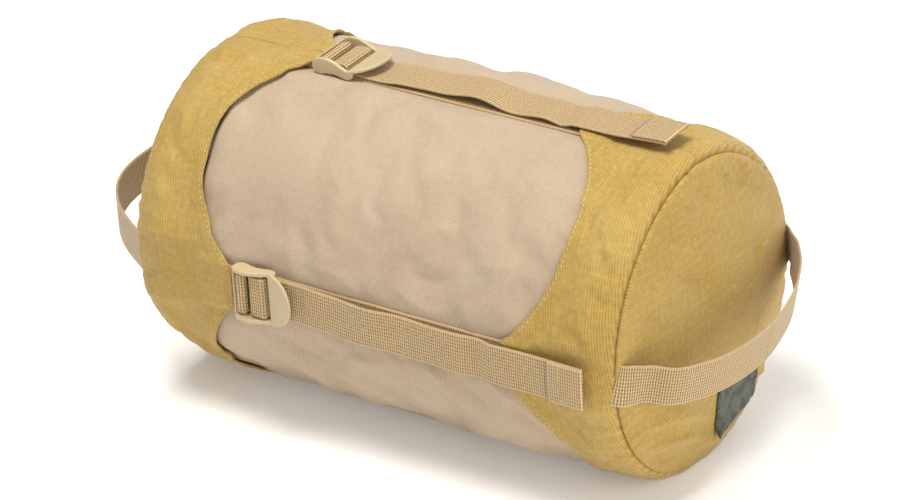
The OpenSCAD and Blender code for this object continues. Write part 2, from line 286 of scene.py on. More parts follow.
# Where the stuffing stands out or falls back: (x, turn in degrees, half spreads, height)
bulges = [(0, 344, 85, 14, 4.4), (-140, 352, 26, 40, 1.6), (-136, 134, 34, 26, -3.6),
          (-146, 84, 24, 18, 1.6), (134, 322, 30, 28, -3.0), (30, 118, 120, 20, -1.4),
          (140, 138, 26, 22, -1.6), (-30, 45, 50, 22, 0.8)]

slack_from, slack_to = crown_seam + 6, base_seam - 6
slack = np.zeros((92, 250))


def slack_at(x, turn):
    """Settled slack of the fabric at a place, between the points of the slack grid."""
    rows, turns_round = slack.shape
    row = np.clip((x - slack_from) / (slack_to - slack_from), 0, 1) * (rows - 1.001)
    column = (turn % (2 * math.pi)) / (2 * math.pi) * turns_round
    r, c = np.floor(row).astype(int), np.floor(column).astype(int) % turns_round
    p, q = row - r, column - np.floor(column)
    n = (c + 1) % turns_round
    return ((slack[r, c] * (1 - q) + slack[r, n] * q) * (1 - p)
            + (slack[r + 1, c] * (1 - q) + slack[r + 1, n] * q) * p)


def seam_line(turn, end):
    """Radius of an end seam. The base seam sags at its upper back, the lid's low in front."""
    sag, middle = (3.8, 318) if end == base_seam else (3.2, 138)
    return seam_r - sag * np.exp(-((np.degrees(turn % (2 * math.pi)) - middle) / 30) ** 2)


def sack_radius(x, turn):
    """Outer face of the barrel's fabric at a place along and round the sack."""
    turn = turn % (2 * math.pi)
    line = np.exp(-(from_strap(turn) / 15.5) ** 4)
    loose = ease(-104, -84, x) * (1 - ease(112, 140, x))
    full = round_bed + 1.5 - 1.6 * line + (0.35 + 0.6 * loose) * lumps(x, turn, 0.0)
    full = full + 1.6 * creases(turn * unrolled_r, x, barrel_creases) * (1 - line) * loose
    full = full + slack_at(x, turn) * (1 - line)
    for at_x, at_turn, half_x, half_turn, height in bulges:
        off_turn = (np.degrees(turn) - at_turn + 180) % 360 - 180
        full = full + height * (1 - line) * np.exp(-((x - at_x) / half_x) ** 4
                                                   - (off_turn / half_turn) ** 2)
    for end, reach, narrow, sharp in ((base_seam, 27.0, 1.5, 2.2), (crown_seam, 21.0, 1.2, 2.8)):
        t = np.clip(1 - np.abs(end - x) / reach, 0, 1)
        seam = seam_line(turn, end) - narrow
        full = seam + (full - seam) * np.sqrt(np.maximum(1 - t ** sharp, 0))
    off = turn - math.pi
    side = np.abs(88 * np.tan(np.clip(off, -1.2, 1.2)))
    dent = (1 - ease(16.5, 27, side)) * ease(mouth_x - 16, mouth_x - 2, x)
    dent = dent * (1 - ease(base_seam - 24, base_seam - 8, x))
    level = centre_h - 1.7
    limit = np.where(np.cos(off) > 0.3, (level - (level - under_bed) * dent)
                     / np.maximum(np.cos(off), 0.3), 1e3)
    return soft_min(full, limit, 2.4)


def floor_limit(turn, gap):
    """Distance from the centre line to a level just above the floor."""
    near = np.cos(turn - math.pi)
    return np.where(near > 0.3, (centre_h - gap) / np.maximum(near, 0.3), 1e3)


def around(x, turn, radius):
    """Points in metres from place along the sack, turn around it and distance out."""
    x, turn, radius = np.broadcast_arrays(x, turn, radius)
    return np.stack([x, -radius * np.sin(turn), centre_h + radius * np.cos(turn)], -1) / 1000


# ---------------------------------------------------------------------------------------
# Slack of the fabric
# The sewn tube is a little too big for what fills it. Cloth pinned along the straps, the
# underside and the seams is let grow by 6% and settles, and the panels take up its wrinkles.
# ---------------------------------------------------------------------------------------
def faces_of(*corners):
    """Faces from one grid of point numbers for each of their corners."""
    return np.stack([grid.ravel() for grid in corners], -1).tolist()


def settle(shape, grow, bending, push, tension, frames):
    """Outward moves in mm, on a grid of rows and columns, of slack cloth round the sack."""
    rows, turns_round = shape
    x = np.broadcast_to(np.linspace(slack_from, slack_to, rows)[:, None], shape)
    turn = np.broadcast_to(
        np.linspace(0, 2 * math.pi, turns_round, endpoint=False)[None, :], shape)
    still = sack_radius(x, turn)
    ragged = still + np.random.default_rng(5).normal(0, 0.05, shape)
    number = np.arange(rows * turns_round).reshape(shape)
    turned = np.roll(number, -1, 1)
    faces = faces_of(number[:-1], turned[:-1], turned[1:], number[1:])
    mesh = bpy.data.meshes.new("slack_cloth")
    mesh.from_pydata(around(x, turn, ragged).reshape(-1, 3).tolist(), [], faces)
    cloth = bpy.data.objects.new("slack_cloth", mesh)
    bpy.context.scene.collection.objects.link(cloth)
    held = np.maximum.reduce([
        1 - ease(11, 20, from_strap(turn)), ease(0.80, 0.93, np.cos(turn - math.pi)),
        1 - ease(0, 10, np.minimum(x - slack_from, slack_to - x))]).ravel()
    pins = cloth.vertex_groups.new(name="held")
    for index, weight in enumerate(held):
        if weight > 0.01:
            pins.add([index], float(weight), "REPLACE")
    settling = cloth.modifiers.new("settling", "CLOTH")
    rules = settling.settings
    rules.quality = 6
    rules.mass = 0.15
    rules.tension_stiffness = rules.compression_stiffness = tension
    rules.shear_stiffness = tension / 3
    rules.bending_stiffness = bending
    rules.vertex_group_mass = "held"
    rules.pin_stiffness = 5
    rules.shrink_min = -grow
    rules.use_pressure = True
    rules.uniform_pressure_force = push
    rules.effector_weights.gravity = 0
    rules.air_damping = 3
    settling.collision_settings.use_collision = False
    settling.point_cache.frame_end = frames
    for frame_number in range(1, frames + 1):
        bpy.context.scene.frame_set(frame_number)
    settled = bpy.data.meshes.new_from_object(
        cloth.evaluated_get(bpy.context.evaluated_depsgraph_get()))
    points = np.array([v.co for v in settled.vertices]).reshape(*shape, 3) * 1000
    bpy.data.objects.remove(cloth)
    bpy.data.meshes.remove(mesh)
    bpy.data.meshes.remove(settled)
    bpy.context.scene.frame_set(1)
    return np.hypot(points[..., 1], points[..., 2] - centre_h) - still


outward = settle(slack.shape, grow=0.06, bending=0.08, push=1.0, tension=15, frames=25)
for shift in (-1, 1):
    outward = (outward + 0.5 * np.roll(outward, shift, 1)) / 1.5
# Only part of the move is kept, and never more than the cap in mm
slack_cap, slack_share = 2.4, 0.75
slack[:] = slack_cap * np.tanh(slack_share * outward / slack_cap)


# ---------------------------------------------------------------------------------------
# Barrel
# The main tube of the sack, cut from thin coated nylon in a pinkish tan and sewn to the
# base disc. The weave shows as fine slanting ribs.
# ---------------------------------------------------------------------------------------
def put_in_scene(name, points, faces, material, weave=None):
    """Mesh object from points and faces, smooth shaded and facing outwards, with weave
    coordinates in mm."""
    mesh = bpy.data.meshes.new(name)
    mesh.from_pydata(np.asarray(points).tolist(), [], [list(face) for face in faces])
    mesh.polygons.foreach_set("use_smooth", np.ones(len(mesh.polygons), bool))
    if weave is not None:
        layer = mesh.attributes.new("weave_mm", "FLOAT_VECTOR", "POINT")
        layer.data.foreach_set("vector", np.asarray(weave, np.float32).ravel())
    mesh.materials.append(material)
    mesh.update()
    solid = bmesh.new()
    solid.from_mesh(mesh)
    inside_out = solid.calc_volume(signed=True) < 0
    solid.free()
    if inside_out:
        mesh.flip_normals()
    piece = bpy.data.objects.new(name, mesh)
    bpy.context.scene.collection.objects.link(piece)
    return piece


def fabric_tube(name, outer, inner, weave, material):
    """Closed shell between an outer and an inner grid (rows along, columns all round)."""
    rows, columns = outer.shape[:2]
    number = np.arange(rows * columns).reshape(rows, columns)
    turned = np.roll(number, -1, 1)
    under, under_turned = number + rows * columns, turned + rows * columns
    faces = (faces_of(number[:-1], turned[:-1], turned[1:], number[1:])
             + faces_of(under[1:], under_turned[1:], under_turned[:-1], under[:-1])
             + faces_of(number[0], under[0], under_turned[0], turned[0])
             + faces_of(turned[-1], under_turned[-1], under[-1], number[-1]))
    points = np.concatenate([outer.reshape(-1, 3), inner.reshape(-1, 3)])
    return put_in_scene(name, points, faces, material,
                        np.concatenate([weave.reshape(-1, 3)] * 2))


def wave(tree, coordinate, pitch_mm):
    """Even ribs, as a wave from -1 to 1 along a coordinate in mm."""
    angle = add(tree, "ShaderNodeMath", {0: coordinate, 1: 2 * math.pi / pitch_mm},
                operation="MULTIPLY").outputs[0]
    return add(tree, "ShaderNodeMath", {0: angle}, operation="SINE").outputs[0]


def woven_cloth(name, body, shade, light, twill_mm, slant, grid_mm, grid_share):
    """Coated nylon: broken twill lines, the thicker threads of a ripstop grid, slow patches
    of wear, and a bump from the threads."""
    material, tree, shader = start_material(name)
    weave = add(tree, "ShaderNodeAttribute", attribute_name="weave_mm")
    parts = add(tree, "ShaderNodeSeparateXYZ", {"Vector": weave.outputs["Vector"]})
    across, along = parts.outputs["X"], parts.outputs["Y"]
    slub = add(tree, "ShaderNodeTexNoise",
               {"Vector": weave.outputs["Vector"], "Scale": 0.32, "Detail": 3.0}).outputs["Fac"]
    patch = add(tree, "ShaderNodeTexNoise",
                {"Vector": weave.outputs["Vector"], "Scale": 0.02, "Detail": 4.0,
                 "Roughness": 0.6}).outputs["Fac"]
    slanted = add(tree, "ShaderNodeMath", {0: across, 1: slant, 2: along},
                  operation="MULTIPLY_ADD").outputs[0]
    wavering = add(tree, "ShaderNodeMath", {0: slub, 1: 0.2, 2: slanted},
                   operation="MULTIPLY_ADD").outputs[0]
    waves = [add(tree, "ShaderNodeMath", {0: wave(tree, coordinate, pitch), 1: 0.5, 2: 0.5},
                 operation="MULTIPLY_ADD").outputs[0]
             for coordinate, pitch in ((wavering, twill_mm), (across, twill_mm * 1.3))]
    thick = []
    for coordinate in (across, along):
        away = add(tree, "ShaderNodeMath", {0: coordinate, 1: grid_mm / 2},
                   operation="PINGPONG").outputs[0]
        thick.append(add(tree, "ShaderNodeMapRange",
                         {"Value": away, "From Min": 0.0, "From Max": 0.45,
                          "To Min": 1.0, "To Max": 0.0}, clamp=True).outputs["Result"])
    grid = add(tree, "ShaderNodeMath", {0: thick[0], 1: thick[1]}, operation="MAXIMUM").outputs[0]
    ribbed = add(tree, "ShaderNodeMath", {0: waves[1], 1: 0.16, 2: waves[0]},
                 operation="MULTIPLY_ADD").outputs[0]
    uneven = add(tree, "ShaderNodeMath", {0: slub, 1: 1.3, 2: ribbed},
                 operation="MULTIPLY_ADD").outputs[0]
    depth = add(tree, "ShaderNodeMapRange", {"Value": uneven, "From Min": 0.4, "From Max": 1.5},
                clamp=True).outputs["Result"]
    tone = add(tree, "ShaderNodeMix", {"Factor": depth, "A": linear(shade), "B": linear(body)},
               data_type="RGBA").outputs["Result"]
    worn = add(tree, "ShaderNodeMapRange",
               {"Value": patch, "From Min": 0.42, "From Max": 0.74, "To Max": 0.2},
               clamp=True).outputs["Result"]
    tinted = add(tree, "ShaderNodeMix", {"Factor": worn, "A": tone, "B": linear(light)},
                 data_type="RGBA").outputs["Result"]
    picked = add(tree, "ShaderNodeMapRange",
                 {"Value": slub, "From Min": 0.35, "From Max": 0.65, "To Max": grid_share},
                 clamp=True).outputs["Result"]
    share = add(tree, "ShaderNodeMath", {0: grid, 1: picked}, operation="MULTIPLY").outputs[0]
    lined = add(tree, "ShaderNodeMix", {"Factor": share, "A": tinted, "B": linear(light)},
                data_type="RGBA").outputs["Result"]
    relief = add(tree, "ShaderNodeMath", {0: grid, 1: 0.5, 2: ribbed},
                 operation="MULTIPLY_ADD").outputs[0]
    bump = add(tree, "ShaderNodeBump",
               {"Height": relief, "Strength": 0.6, "Distance": 0.00025}).outputs["Normal"]
    connect(tree, shader, {"Base Color": lined, "Normal": bump, "Roughness": 0.7,
                           "Sheen Weight": 0.15, "Sheen Roughness": 0.45, "IOR": 1.5,
                           "Specular IOR Level": 0.3})
    return material


# Threads are about 0.3 mm apart, too fine to show, so the twill is drawn at 1.6 mm.
barrel_cloth = woven_cloth("pinkish_tan_coated_nylon", "#BAA58C", "#AB947A", "#CDBCA5",
                           1.6, 0.22, 6.6, 0.06)
fabric_thick = 0.9
columns = 368
turns = np.linspace(0, 2 * math.pi, columns, endpoint=False)[None, :]


def weave_of(x, turn):
    """Distance round the sack and along it, in mm."""
    turn, x = np.broadcast_arrays(turn, x)
    return np.stack([turn * unrolled_r, x, 0 * x], -1)


def scallop_edge(turn, tip, depth, way):
    """Place along the sack of a scalloped edge, with its arm tips on the four strap lines."""
    quarter = math.pi / 2
    off = np.abs(turn % quarter - quarter / 2) / math.radians(37.5)
    edge = tip + way * 0.5 - way * depth * np.cos(quarter * np.clip(off, 0, 1)) ** 0.7
    return sum(np.roll(edge, k) for k in (-1, 0, 1)) / 3


band_tip = box_mm("base_band")[0][0]
band_depth = 31


def band_cover(x, turn):
    """How far a place lies under the base band, from 0 at its edge to 1 well inside."""
    edge = scallop_edge(turns[0], band_tip, band_depth, -1)
    edge = np.interp(turn % (2 * math.pi), turns[0], edge, period=2 * math.pi)
    return ease(edge + 4, edge + 12, x)


# Under the base band the tube lies a little deeper, out of the way of the band's folds
barrel_sink = 1.8
barrel_x = np.concatenate([
    np.linspace(box_mm("barrel")[0][0] - 0.6, base_seam - 28, 82),
    base_seam - 1.3 - 26.5 * (1 - np.linspace(0, 1, 20)[1:]) ** 1.5,
])[:, None]
barrel_turn = np.broadcast_to(turns, (len(barrel_x), columns))
barrel_out = sack_radius(barrel_x, barrel_turn) - barrel_sink * band_cover(barrel_x, barrel_turn)
barrel = fabric_tube(
    "barrel_tube", around(barrel_x, barrel_turn, barrel_out),
    around(barrel_x, barrel_turn, barrel_out - fabric_thick),
    weave_of(barrel_x, barrel_turn), barrel_cloth)
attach(barrel, "sack")
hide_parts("barrel")


# ---------------------------------------------------------------------------------------
# Stitching and mouth channel
# The open end of the barrel is folded over twice into a channel for a drawcord. Like every
# seam on the sack it is sewn with a lockstitch of about 3.4 mm in a light bonded thread.
# ---------------------------------------------------------------------------------------
def thread_material(name, thread, groove_shade):
    """Bonded nylon thread: twisted strands drawn as a bump, with painted shade darkening the
    grooves between them.
    """
    material, tree, shader = start_material(name)
    where = add(tree, "ShaderNodeTexCoord")
    strand = add(tree, "ShaderNodeTexNoise",
                 {"Vector": where.outputs["Object"], "Scale": 1600.0, "Detail": 2.0}).outputs["Fac"]
    # The second colour is painted shade: it darkens the thread where the strand noise is low, where
    # the bump sinks into grooves
    tone = add(tree, "ShaderNodeMix", {"Factor": strand, "A": linear(groove_shade), "B": linear(thread)},
               data_type="RGBA").outputs["Result"]
    bump = add(tree, "ShaderNodeBump",
               {"Height": strand, "Strength": 0.5, "Distance": 0.0002}).outputs["Normal"]
    connect(tree, shader, {"Base Color": tone, "Normal": bump, "Roughness": 0.55,
                           "Sheen Weight": 0.2})
    return material


# Light thread, its second colour the painted shade in the grooves between strands
light_thread = thread_material("light_bonded_nylon_thread", "#E0CC92", "#B99A5A")


def stitches(name, rows, material, long_mm=2.6, pitch_mm=3.4, thick_mm=0.68):
    """Rows of stitches. Each row is (points in metres, directions out of the fabric)."""
    rings, sides = 4, 6
    angle = np.arange(sides) * 2 * math.pi / sides
    at = np.linspace(-1, 1, rings + 2)[1:-1]
    template = [np.array([[-1.0, 0, 0]])]
    for t in at:
        girth = (1 - abs(t) ** 3) ** 0.5
        template.append(np.stack([np.full(sides, t), girth * np.cos(angle),
                                  girth * np.sin(angle)], -1))
    template.append(np.array([[1.0, 0, 0]]))
    template = np.concatenate(template)
    last = len(template) - 1
    faces = []
    for k in range(sides):
        n = (k + 1) % sides
        faces.append((0, 1 + n, 1 + k))
        faces.append((last, last - sides + k, last - sides + n))
        for r in range(rings - 1):
            a, b = 1 + r * sides, 1 + (r + 1) * sides
            faces.append((a + k, a + n, b + n, b + k))
    points, all_faces, at_mm = [], [], 0
    for line, outs in rows:
        line = np.asarray(line) * 1000
        step = np.linalg.norm(np.diff(line, axis=0), axis=1)
        run = np.concatenate([[0], np.cumsum(step)])
        count = max(2, int(run[-1] / pitch_mm))
        for middle in (np.arange(count) + 0.5) * run[-1] / count:
            ends = [np.array([np.interp(middle + e, run, line[:, c]) for c in range(3)])
                    for e in (-long_mm / 2, long_mm / 2)]
            out = np.array([np.interp(middle, run, outs[:, c]) for c in range(3)])
            forward = ends[1] - ends[0]
            forward /= max(np.linalg.norm(forward), 1e-6)
            out = out - forward * (out @ forward)
            out /= np.linalg.norm(out)
            side = np.cross(out, forward)
            centre = (ends[0] + ends[1]) / 2 + out * thick_mm * 0.12
            body = (centre + template[:, :1] * forward * long_mm / 2
                    + template[:, 1:2] * side * thick_mm / 2
                    + template[:, 2:3] * out * thick_mm / 2)
            body = body - out * (0.45 * thick_mm * template[:, :1] ** 4)
            all_faces += [[i + at_mm for i in face] for face in faces]
            points.append(body / 1000)
            at_mm += len(template)
    return put_in_scene(name, np.concatenate(points), all_faces, material)


def out_of_sack(turn):
    """Direction away from the centre line."""
    turn = np.asarray(turn)
    return np.stack([0 * turn, -np.sin(turn), np.cos(turn)], -1)


hem_low, hem_high = box_mm("mouth_hem")
eyelet_low, eyelet_high = box_mm("cord_eyelet")
eyelet_x = (eyelet_low[0] + eyelet_high[0]) / 2
eyelet_turn = math.pi / 4
hem_x = np.concatenate([
    hem_low[0] + np.array([0, 0.25, 0.7, 1.4]),
    np.linspace(hem_low[0] + 2.6, hem_high[0] - 2.2, 15),
    hem_high[0] - np.array([1.4, 0.7, 0.2, 0])])[:, None]
hem_turn = np.broadcast_to(turns, (len(hem_x), columns))
hem_reach = (hem_x - (hem_low[0] + hem_high[0]) / 2) / ((hem_high[0] - hem_low[0]) / 2)
hem_swell = 0.08 + 0.92 * np.sqrt(np.clip(1 - np.abs(hem_reach) ** 5, 0, 1))
gather = (0.35 * np.sin(58 * hem_turn + 2 * np.sin(5 * hem_turn))
          * (0.6 + 0.4 * np.sin(9 * hem_turn)))
hem_mid = sack_radius(hem_x, hem_turn) - 1.6
cup = np.hypot((hem_turn - eyelet_turn) * unrolled_r, hem_x - eyelet_x)
hem_out = hem_mid + (1.7 + gather) * hem_swell - 1.8 * (1 - ease(2.2, 3.6, cup))
hem_in = hem_mid - (1.5 - gather) * hem_swell
channel = fabric_tube("mouth_channel", around(hem_x, hem_turn, hem_out),
                      around(hem_x, hem_turn, hem_in), weave_of(hem_x, hem_turn), barrel_cloth)
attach(channel, "sack")
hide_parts("mouth_hem")

closed = np.append(turns[0], 2 * math.pi)
hem_row = hem_high[0] - 1.9
hem_line = around(hem_row, closed, sack_radius(hem_row, closed) + 0.05)
channel_stitch = stitches("mouth_channel_stitching", [(hem_line, out_of_sack(closed))],
                          light_thread)
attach(channel_stitch, "sack")


# ---------------------------------------------------------------------------------------
# Cord eyelet
# A two-part brass eyelet set through the outer wall of the channel, where the drawcord comes
# out. Its rolled rim is pressed into the fabric.
# ---------------------------------------------------------------------------------------
# Brass, rolled and tumbled: soft gloss with a darker film in patches of 1 to 2 mm
brass, brass_tree, brass_shader = start_material("rolled_brass")
film = add(brass_tree, "ShaderNodeTexNoise",
           {"Vector": add(brass_tree, "ShaderNodeTexCoord").outputs["Object"],
            "Scale": 700.0, "Detail": 4.0}).outputs["Fac"]
brass_tone = add(brass_tree, "ShaderNodeMix",
                 {"Factor": film, "A": linear("#8C6B34"), "B": linear("#C9A25A")},
                 data_type="RGBA").outputs["Result"]
brass_rough = add(brass_tree, "ShaderNodeMapRange",
                  {"Value": film, "To Min": 0.28, "To Max": 0.5}).outputs["Result"]
connect(brass_tree, brass_shader,
        {"Base Color": brass_tone, "Roughness": brass_rough, "Metallic": 1.0})

ring_profile = [(2.5, -1.4), (2.55, -0.2), (2.8, 0.5), (3.4, 0.95), (4.2, 1.0), (5.0, 0.7),
                (5.5, 0.15), (5.4, -0.2), (4.4, -0.1), (3.3, -0.3), (3.05, -1.4)]
ring_sides = 40
ring_centre = around(eyelet_x, eyelet_turn,
                     sack_radius(np.array([eyelet_x]), np.array([eyelet_turn]))[0] + 0.15)
ring_out = out_of_sack(eyelet_turn)
ring_side = np.array([0, math.cos(eyelet_turn), math.sin(eyelet_turn)])
ring_along = np.array([1.0, 0, 0])
ring_points = [ring_centre + (ring_along * math.cos(a) * reach + ring_side * math.sin(a) * reach
                              + ring_out * height) / 1000
               for reach, height in ring_profile
               for a in np.arange(ring_sides) * 2 * math.pi / ring_sides]
ring_number = np.arange(len(ring_points)).reshape(-1, ring_sides)
ring_next = np.roll(ring_number, -1, 1)
ring_faces = faces_of(ring_number, ring_next, np.roll(ring_next, -1, 0),
                      np.roll(ring_number, -1, 0))
eyelet = put_in_scene("eyelet_ring", ring_points, ring_faces, brass)
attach(eyelet, "sack")
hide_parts("cord_eyelet")


# ---------------------------------------------------------------------------------------
# Base band
# A wide band of coyote ripstop nylon sewn round the base end. Its front edge is cut in four
# scallops with an arm between each pair, turned under by 8 mm and stitched to the barrel.
# ---------------------------------------------------------------------------------------
# Ripstop's thicker threads really cross every 5 mm; the thin threads between are drawn at
# 1.55 mm to show.
ripstop = woven_cloth("coyote_ripstop_nylon", "#B6954A", "#967836", "#D9C281",
                      1.55, -0.16, 5.0, 0.3)


def scalloped_panel(tip, depth, way, seam_x):
    """Grid of (x, turn, distance from the edge) from a scalloped edge to a seam, square to
    the edge near it."""
    edge = scallop_edge(turns[0], tip, depth, way)
    gap = 2 * math.pi / columns * unrolled_r
    slope = (np.roll(edge, -1) - np.roll(edge, 1)) / (2 * gap)
    size = np.sqrt(1 + slope ** 2)
    sideways = -way * -slope / size
    inwards = -way / size
    for _ in range(2):
        sideways = sum(np.roll(sideways, k) for k in range(-4, 5)) / 9
        inwards = sum(np.roll(inwards, k) for k in range(-4, 5)) / 9
    near = np.array([0, 0.15, 0.4, 0.8, 1.4, 2.2, 3.2, 4.4, 5.6, 6.8, 7.8, 8.8, 10.0])[:, None]
    x_near = edge + inwards * near
    turn_near = turns + sideways * near / unrolled_r
    far = (1 - (1 - np.linspace(0, 1, 38)[1:]) ** 1.35)[:, None]
    x_far = x_near[-1] + (seam_x - x_near[-1]) * far
    turn_far = turn_near[-1] + (turns - turn_near[-1]) * far
    s = np.concatenate([np.broadcast_to(near, x_near.shape), 10 + np.abs(x_far - x_near[-1])])
    return np.concatenate([x_near, x_far]), np.concatenate([turn_near, turn_far]), s


def arm_lift(x, turn, start, end, height):
    """Rise of a panel over the webbing under its arms, between two places along the sack."""
    across = 1 - ease(12.8, 18.0, from_strap(turn))
    along = ease(start, start + 6, x) * (1 - ease(end - 8, end, x))
    return height * across * along


def hem_thick(s, plain, folded):
    """Thickness of a panel at a distance from its turned edge."""
    return plain + (folded - plain) * (1 - ease(7.0, 9.0, s))


def lay_panel(inside, thick, turn, s, row):
    """Outer and inner face of a panel, with a rounded edge, drawn in along its row of
    stitches and pressed flat on the floor."""
    thick = thick - 0.35 * np.exp(-((s - row) / 0.9) ** 2)
    outer = soft_min(inside + thick, floor_limit(turn, 0.1), 0.7)
    inner = np.minimum(inside, outer - 0.8)
    e = np.clip(1 - s / 0.8, 0, 1)
    nose = 1 - np.sqrt(1 - np.clip(e, 0, 0.995) ** 2)
    middle = (outer + inner) / 2
    return middle + (outer - middle) * (1 - nose), middle + (inner - middle) * (1 - nose)


band_creases = wrapped([
    (150, 28, 166, 36, 4.0, -0.8), (146, 44, 167, 52, 4.5, 0.9), (152, 60, 167, 63, 3.5, -0.8),
    (140, 70, 160, 78, 5.0, 0.8), (126, 60, 146, 68, 6.0, -0.6), (136, 112, 160, 124, 4.5, 1.0),
    (144, 100, 164, 108, 4.0, -0.9), (150, 8, 166, 2, 4.0, 0.9), (146, 20, 166, 14, 4.0, -0.8),
] + scattered(9, 26, (120, 152), (0, 345), 0.6))


def band_inside(x, turn):
    """Inner face of the band: close over the barrel, raised over the load straps' ends."""
    away = base_seam - x
    wrinkles = (0.6 * puckers(turn, away, 1.0, 11.0)
                + 1.8 * creases((turn % (2 * math.pi)) * unrolled_r, x, band_creases)
                * ease(0, 4, away))
    deepest = barrel_sink * band_cover(x, turn)
    return (sack_radius(x, turn) + 0.4 + arm_lift(x, turn, 60, 124, 1.9)
            + np.maximum(wrinkles, -deepest))


band_x, band_turn, band_s = scalloped_panel(band_tip, band_depth, -1, base_seam - 0.5)
band_thick = hem_thick(band_s, 1.0, 1.6)
# Its arms are pressed thinner where they cross the straps
band_thick = (band_thick - 0.35 * (1 - ease(14, 19, from_strap(band_turn)))
              * (1 - ease(7, 9, band_s)))
band_row = 2.0
band_out, band_in = lay_panel(band_inside(band_x, band_turn), band_thick, band_turn, band_s,
                              band_row)


def turned_down(x, turn, outer, inner, way):
    """Outer face, inner face and weave of a panel, with its last few millimetres turned down
    into the end seam."""
    steps = [(0.22, 1.0), (0.38, 2.2), (0.46, 3.6)]
    rows_x = np.concatenate([x] + [x[-1:] + way * step for step, _ in steps])
    inner_x = np.concatenate([x] + [x[-1:] - way * 0.5 for _ in steps])
    rows_turn = np.concatenate([turn] + [turn[-1:]] * len(steps))
    outer = np.concatenate([outer] + [outer[-1:] - drop for _, drop in steps])
    inner = np.concatenate([inner] + [inner[-1:] - drop * 1.02 for _, drop in steps])
    return (around(rows_x, rows_turn, outer), around(inner_x, rows_turn, inner),
            weave_of(rows_x, rows_turn))


band = fabric_tube("base_band_panel", *turned_down(band_x, band_turn, band_out, band_in, 1),
                   ripstop)
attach(band, "sack")
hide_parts("base_band")


def edge_row(x, turn, s, outer, away):
    """Closed row of stitch places at a distance from a panel's edge, and its directions out."""
    picks = [np.array([np.interp(away, s[:, c], grid[:, c]) for c in range(columns)])
             for grid in (x, turn, outer)]
    picks = [np.append(p, p[0]) for p in picks]
    picks[1][-1] += 2 * math.pi
    return around(*picks), out_of_sack(picks[1])


band_stitch = stitches(
    "base_band_stitching",
    [edge_row(band_x, band_turn, band_s, band_out, band_row)], light_thread)
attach(band_stitch, "sack")


# ---------------------------------------------------------------------------------------
# Base disc
# A round panel of the same ripstop closes the base end. The contents push it into a low
# dome, and the seam gathers its edge, so folds fan out from the seam.
# ---------------------------------------------------------------------------------------
disc_dome = 12.8
disc_creases = [
    (-54, 86, -16, 58, 5.5, -1.9), (-40, 88, -10, 66, 5.0, 1.4), (-44, 48, -6, 30, 5.5, -1.7),
    (-50, 36, -16, 22, 5.0, 1.1), (0, 93, 30, 60, 4.0, 2.0), (10, 92, 42, 62, 3.8, -1.9),
    (20, 90, 52, 56, 4.2, 1.8), (-8, 92, 12, 64, 4.0, -1.5), (32, 86, 62, 48, 4.0, -1.4),
    (-84, -40, -10, -62, 3.6, 2.4), (-80, -48, -14, -74, 3.4, -2.4), (-74, -56, -2, -84, 3.6, 2.4),
    (-66, -64, 10, -90, 3.4, -2.0), (-56, -74, 16, -93, 3.2, 1.6), (-88, -28, -44, -46, 4.0, -1.6),
    (-90, -18, -56, -30, 4.0, 1.3), (-88, 18, -60, 8, 4.0, -1.0), (-82, 40, -52, 30, 5.0, 1.0),
    (46, -30, 84, -42, 5.0, -1.2), (40, 10, 88, 22, 6.0, 1.2), (10, 30, 40, 16, 7.0, 0.9),
]
random = np.random.default_rng(21)
for _ in range(16):
    y0, z0 = random.uniform(-70, 70, 2)
    slant, length = random.uniform(0, math.pi), random.uniform(14, 34)
    disc_creases.append((y0, z0, y0 + length * math.cos(slant), z0 + length * math.sin(slant),
                         random.uniform(3.0, 5.5),
                         random.choice((-1, 1)) * random.uniform(0.3, 0.7)))


def disc_bulge(across, up, dome, lines, seed, end):
    """Height of a stuffed end panel over its seam, at a place measured from its middle."""
    reach = np.hypot(across, up)
    turn = np.arctan2(-across, up)
    share = np.clip(reach / seam_line(turn, end), 0, 0.9999)
    body = dome * (1 - share ** 2) ** 0.8
    swell = (0.8 * np.sin(across / 21 + seed) * np.sin(up / 27 + 0.5)
             + 0.5 * np.sin((across + up) / 15))
    body = body + (swell + 1.9 * creases(across, up, lines)) * (1 - share ** 14)
    return body + 0.9 * puckers(turn, seam_r - reach, seed, 12.0) * ease(0, 1.5, seam_r - reach)


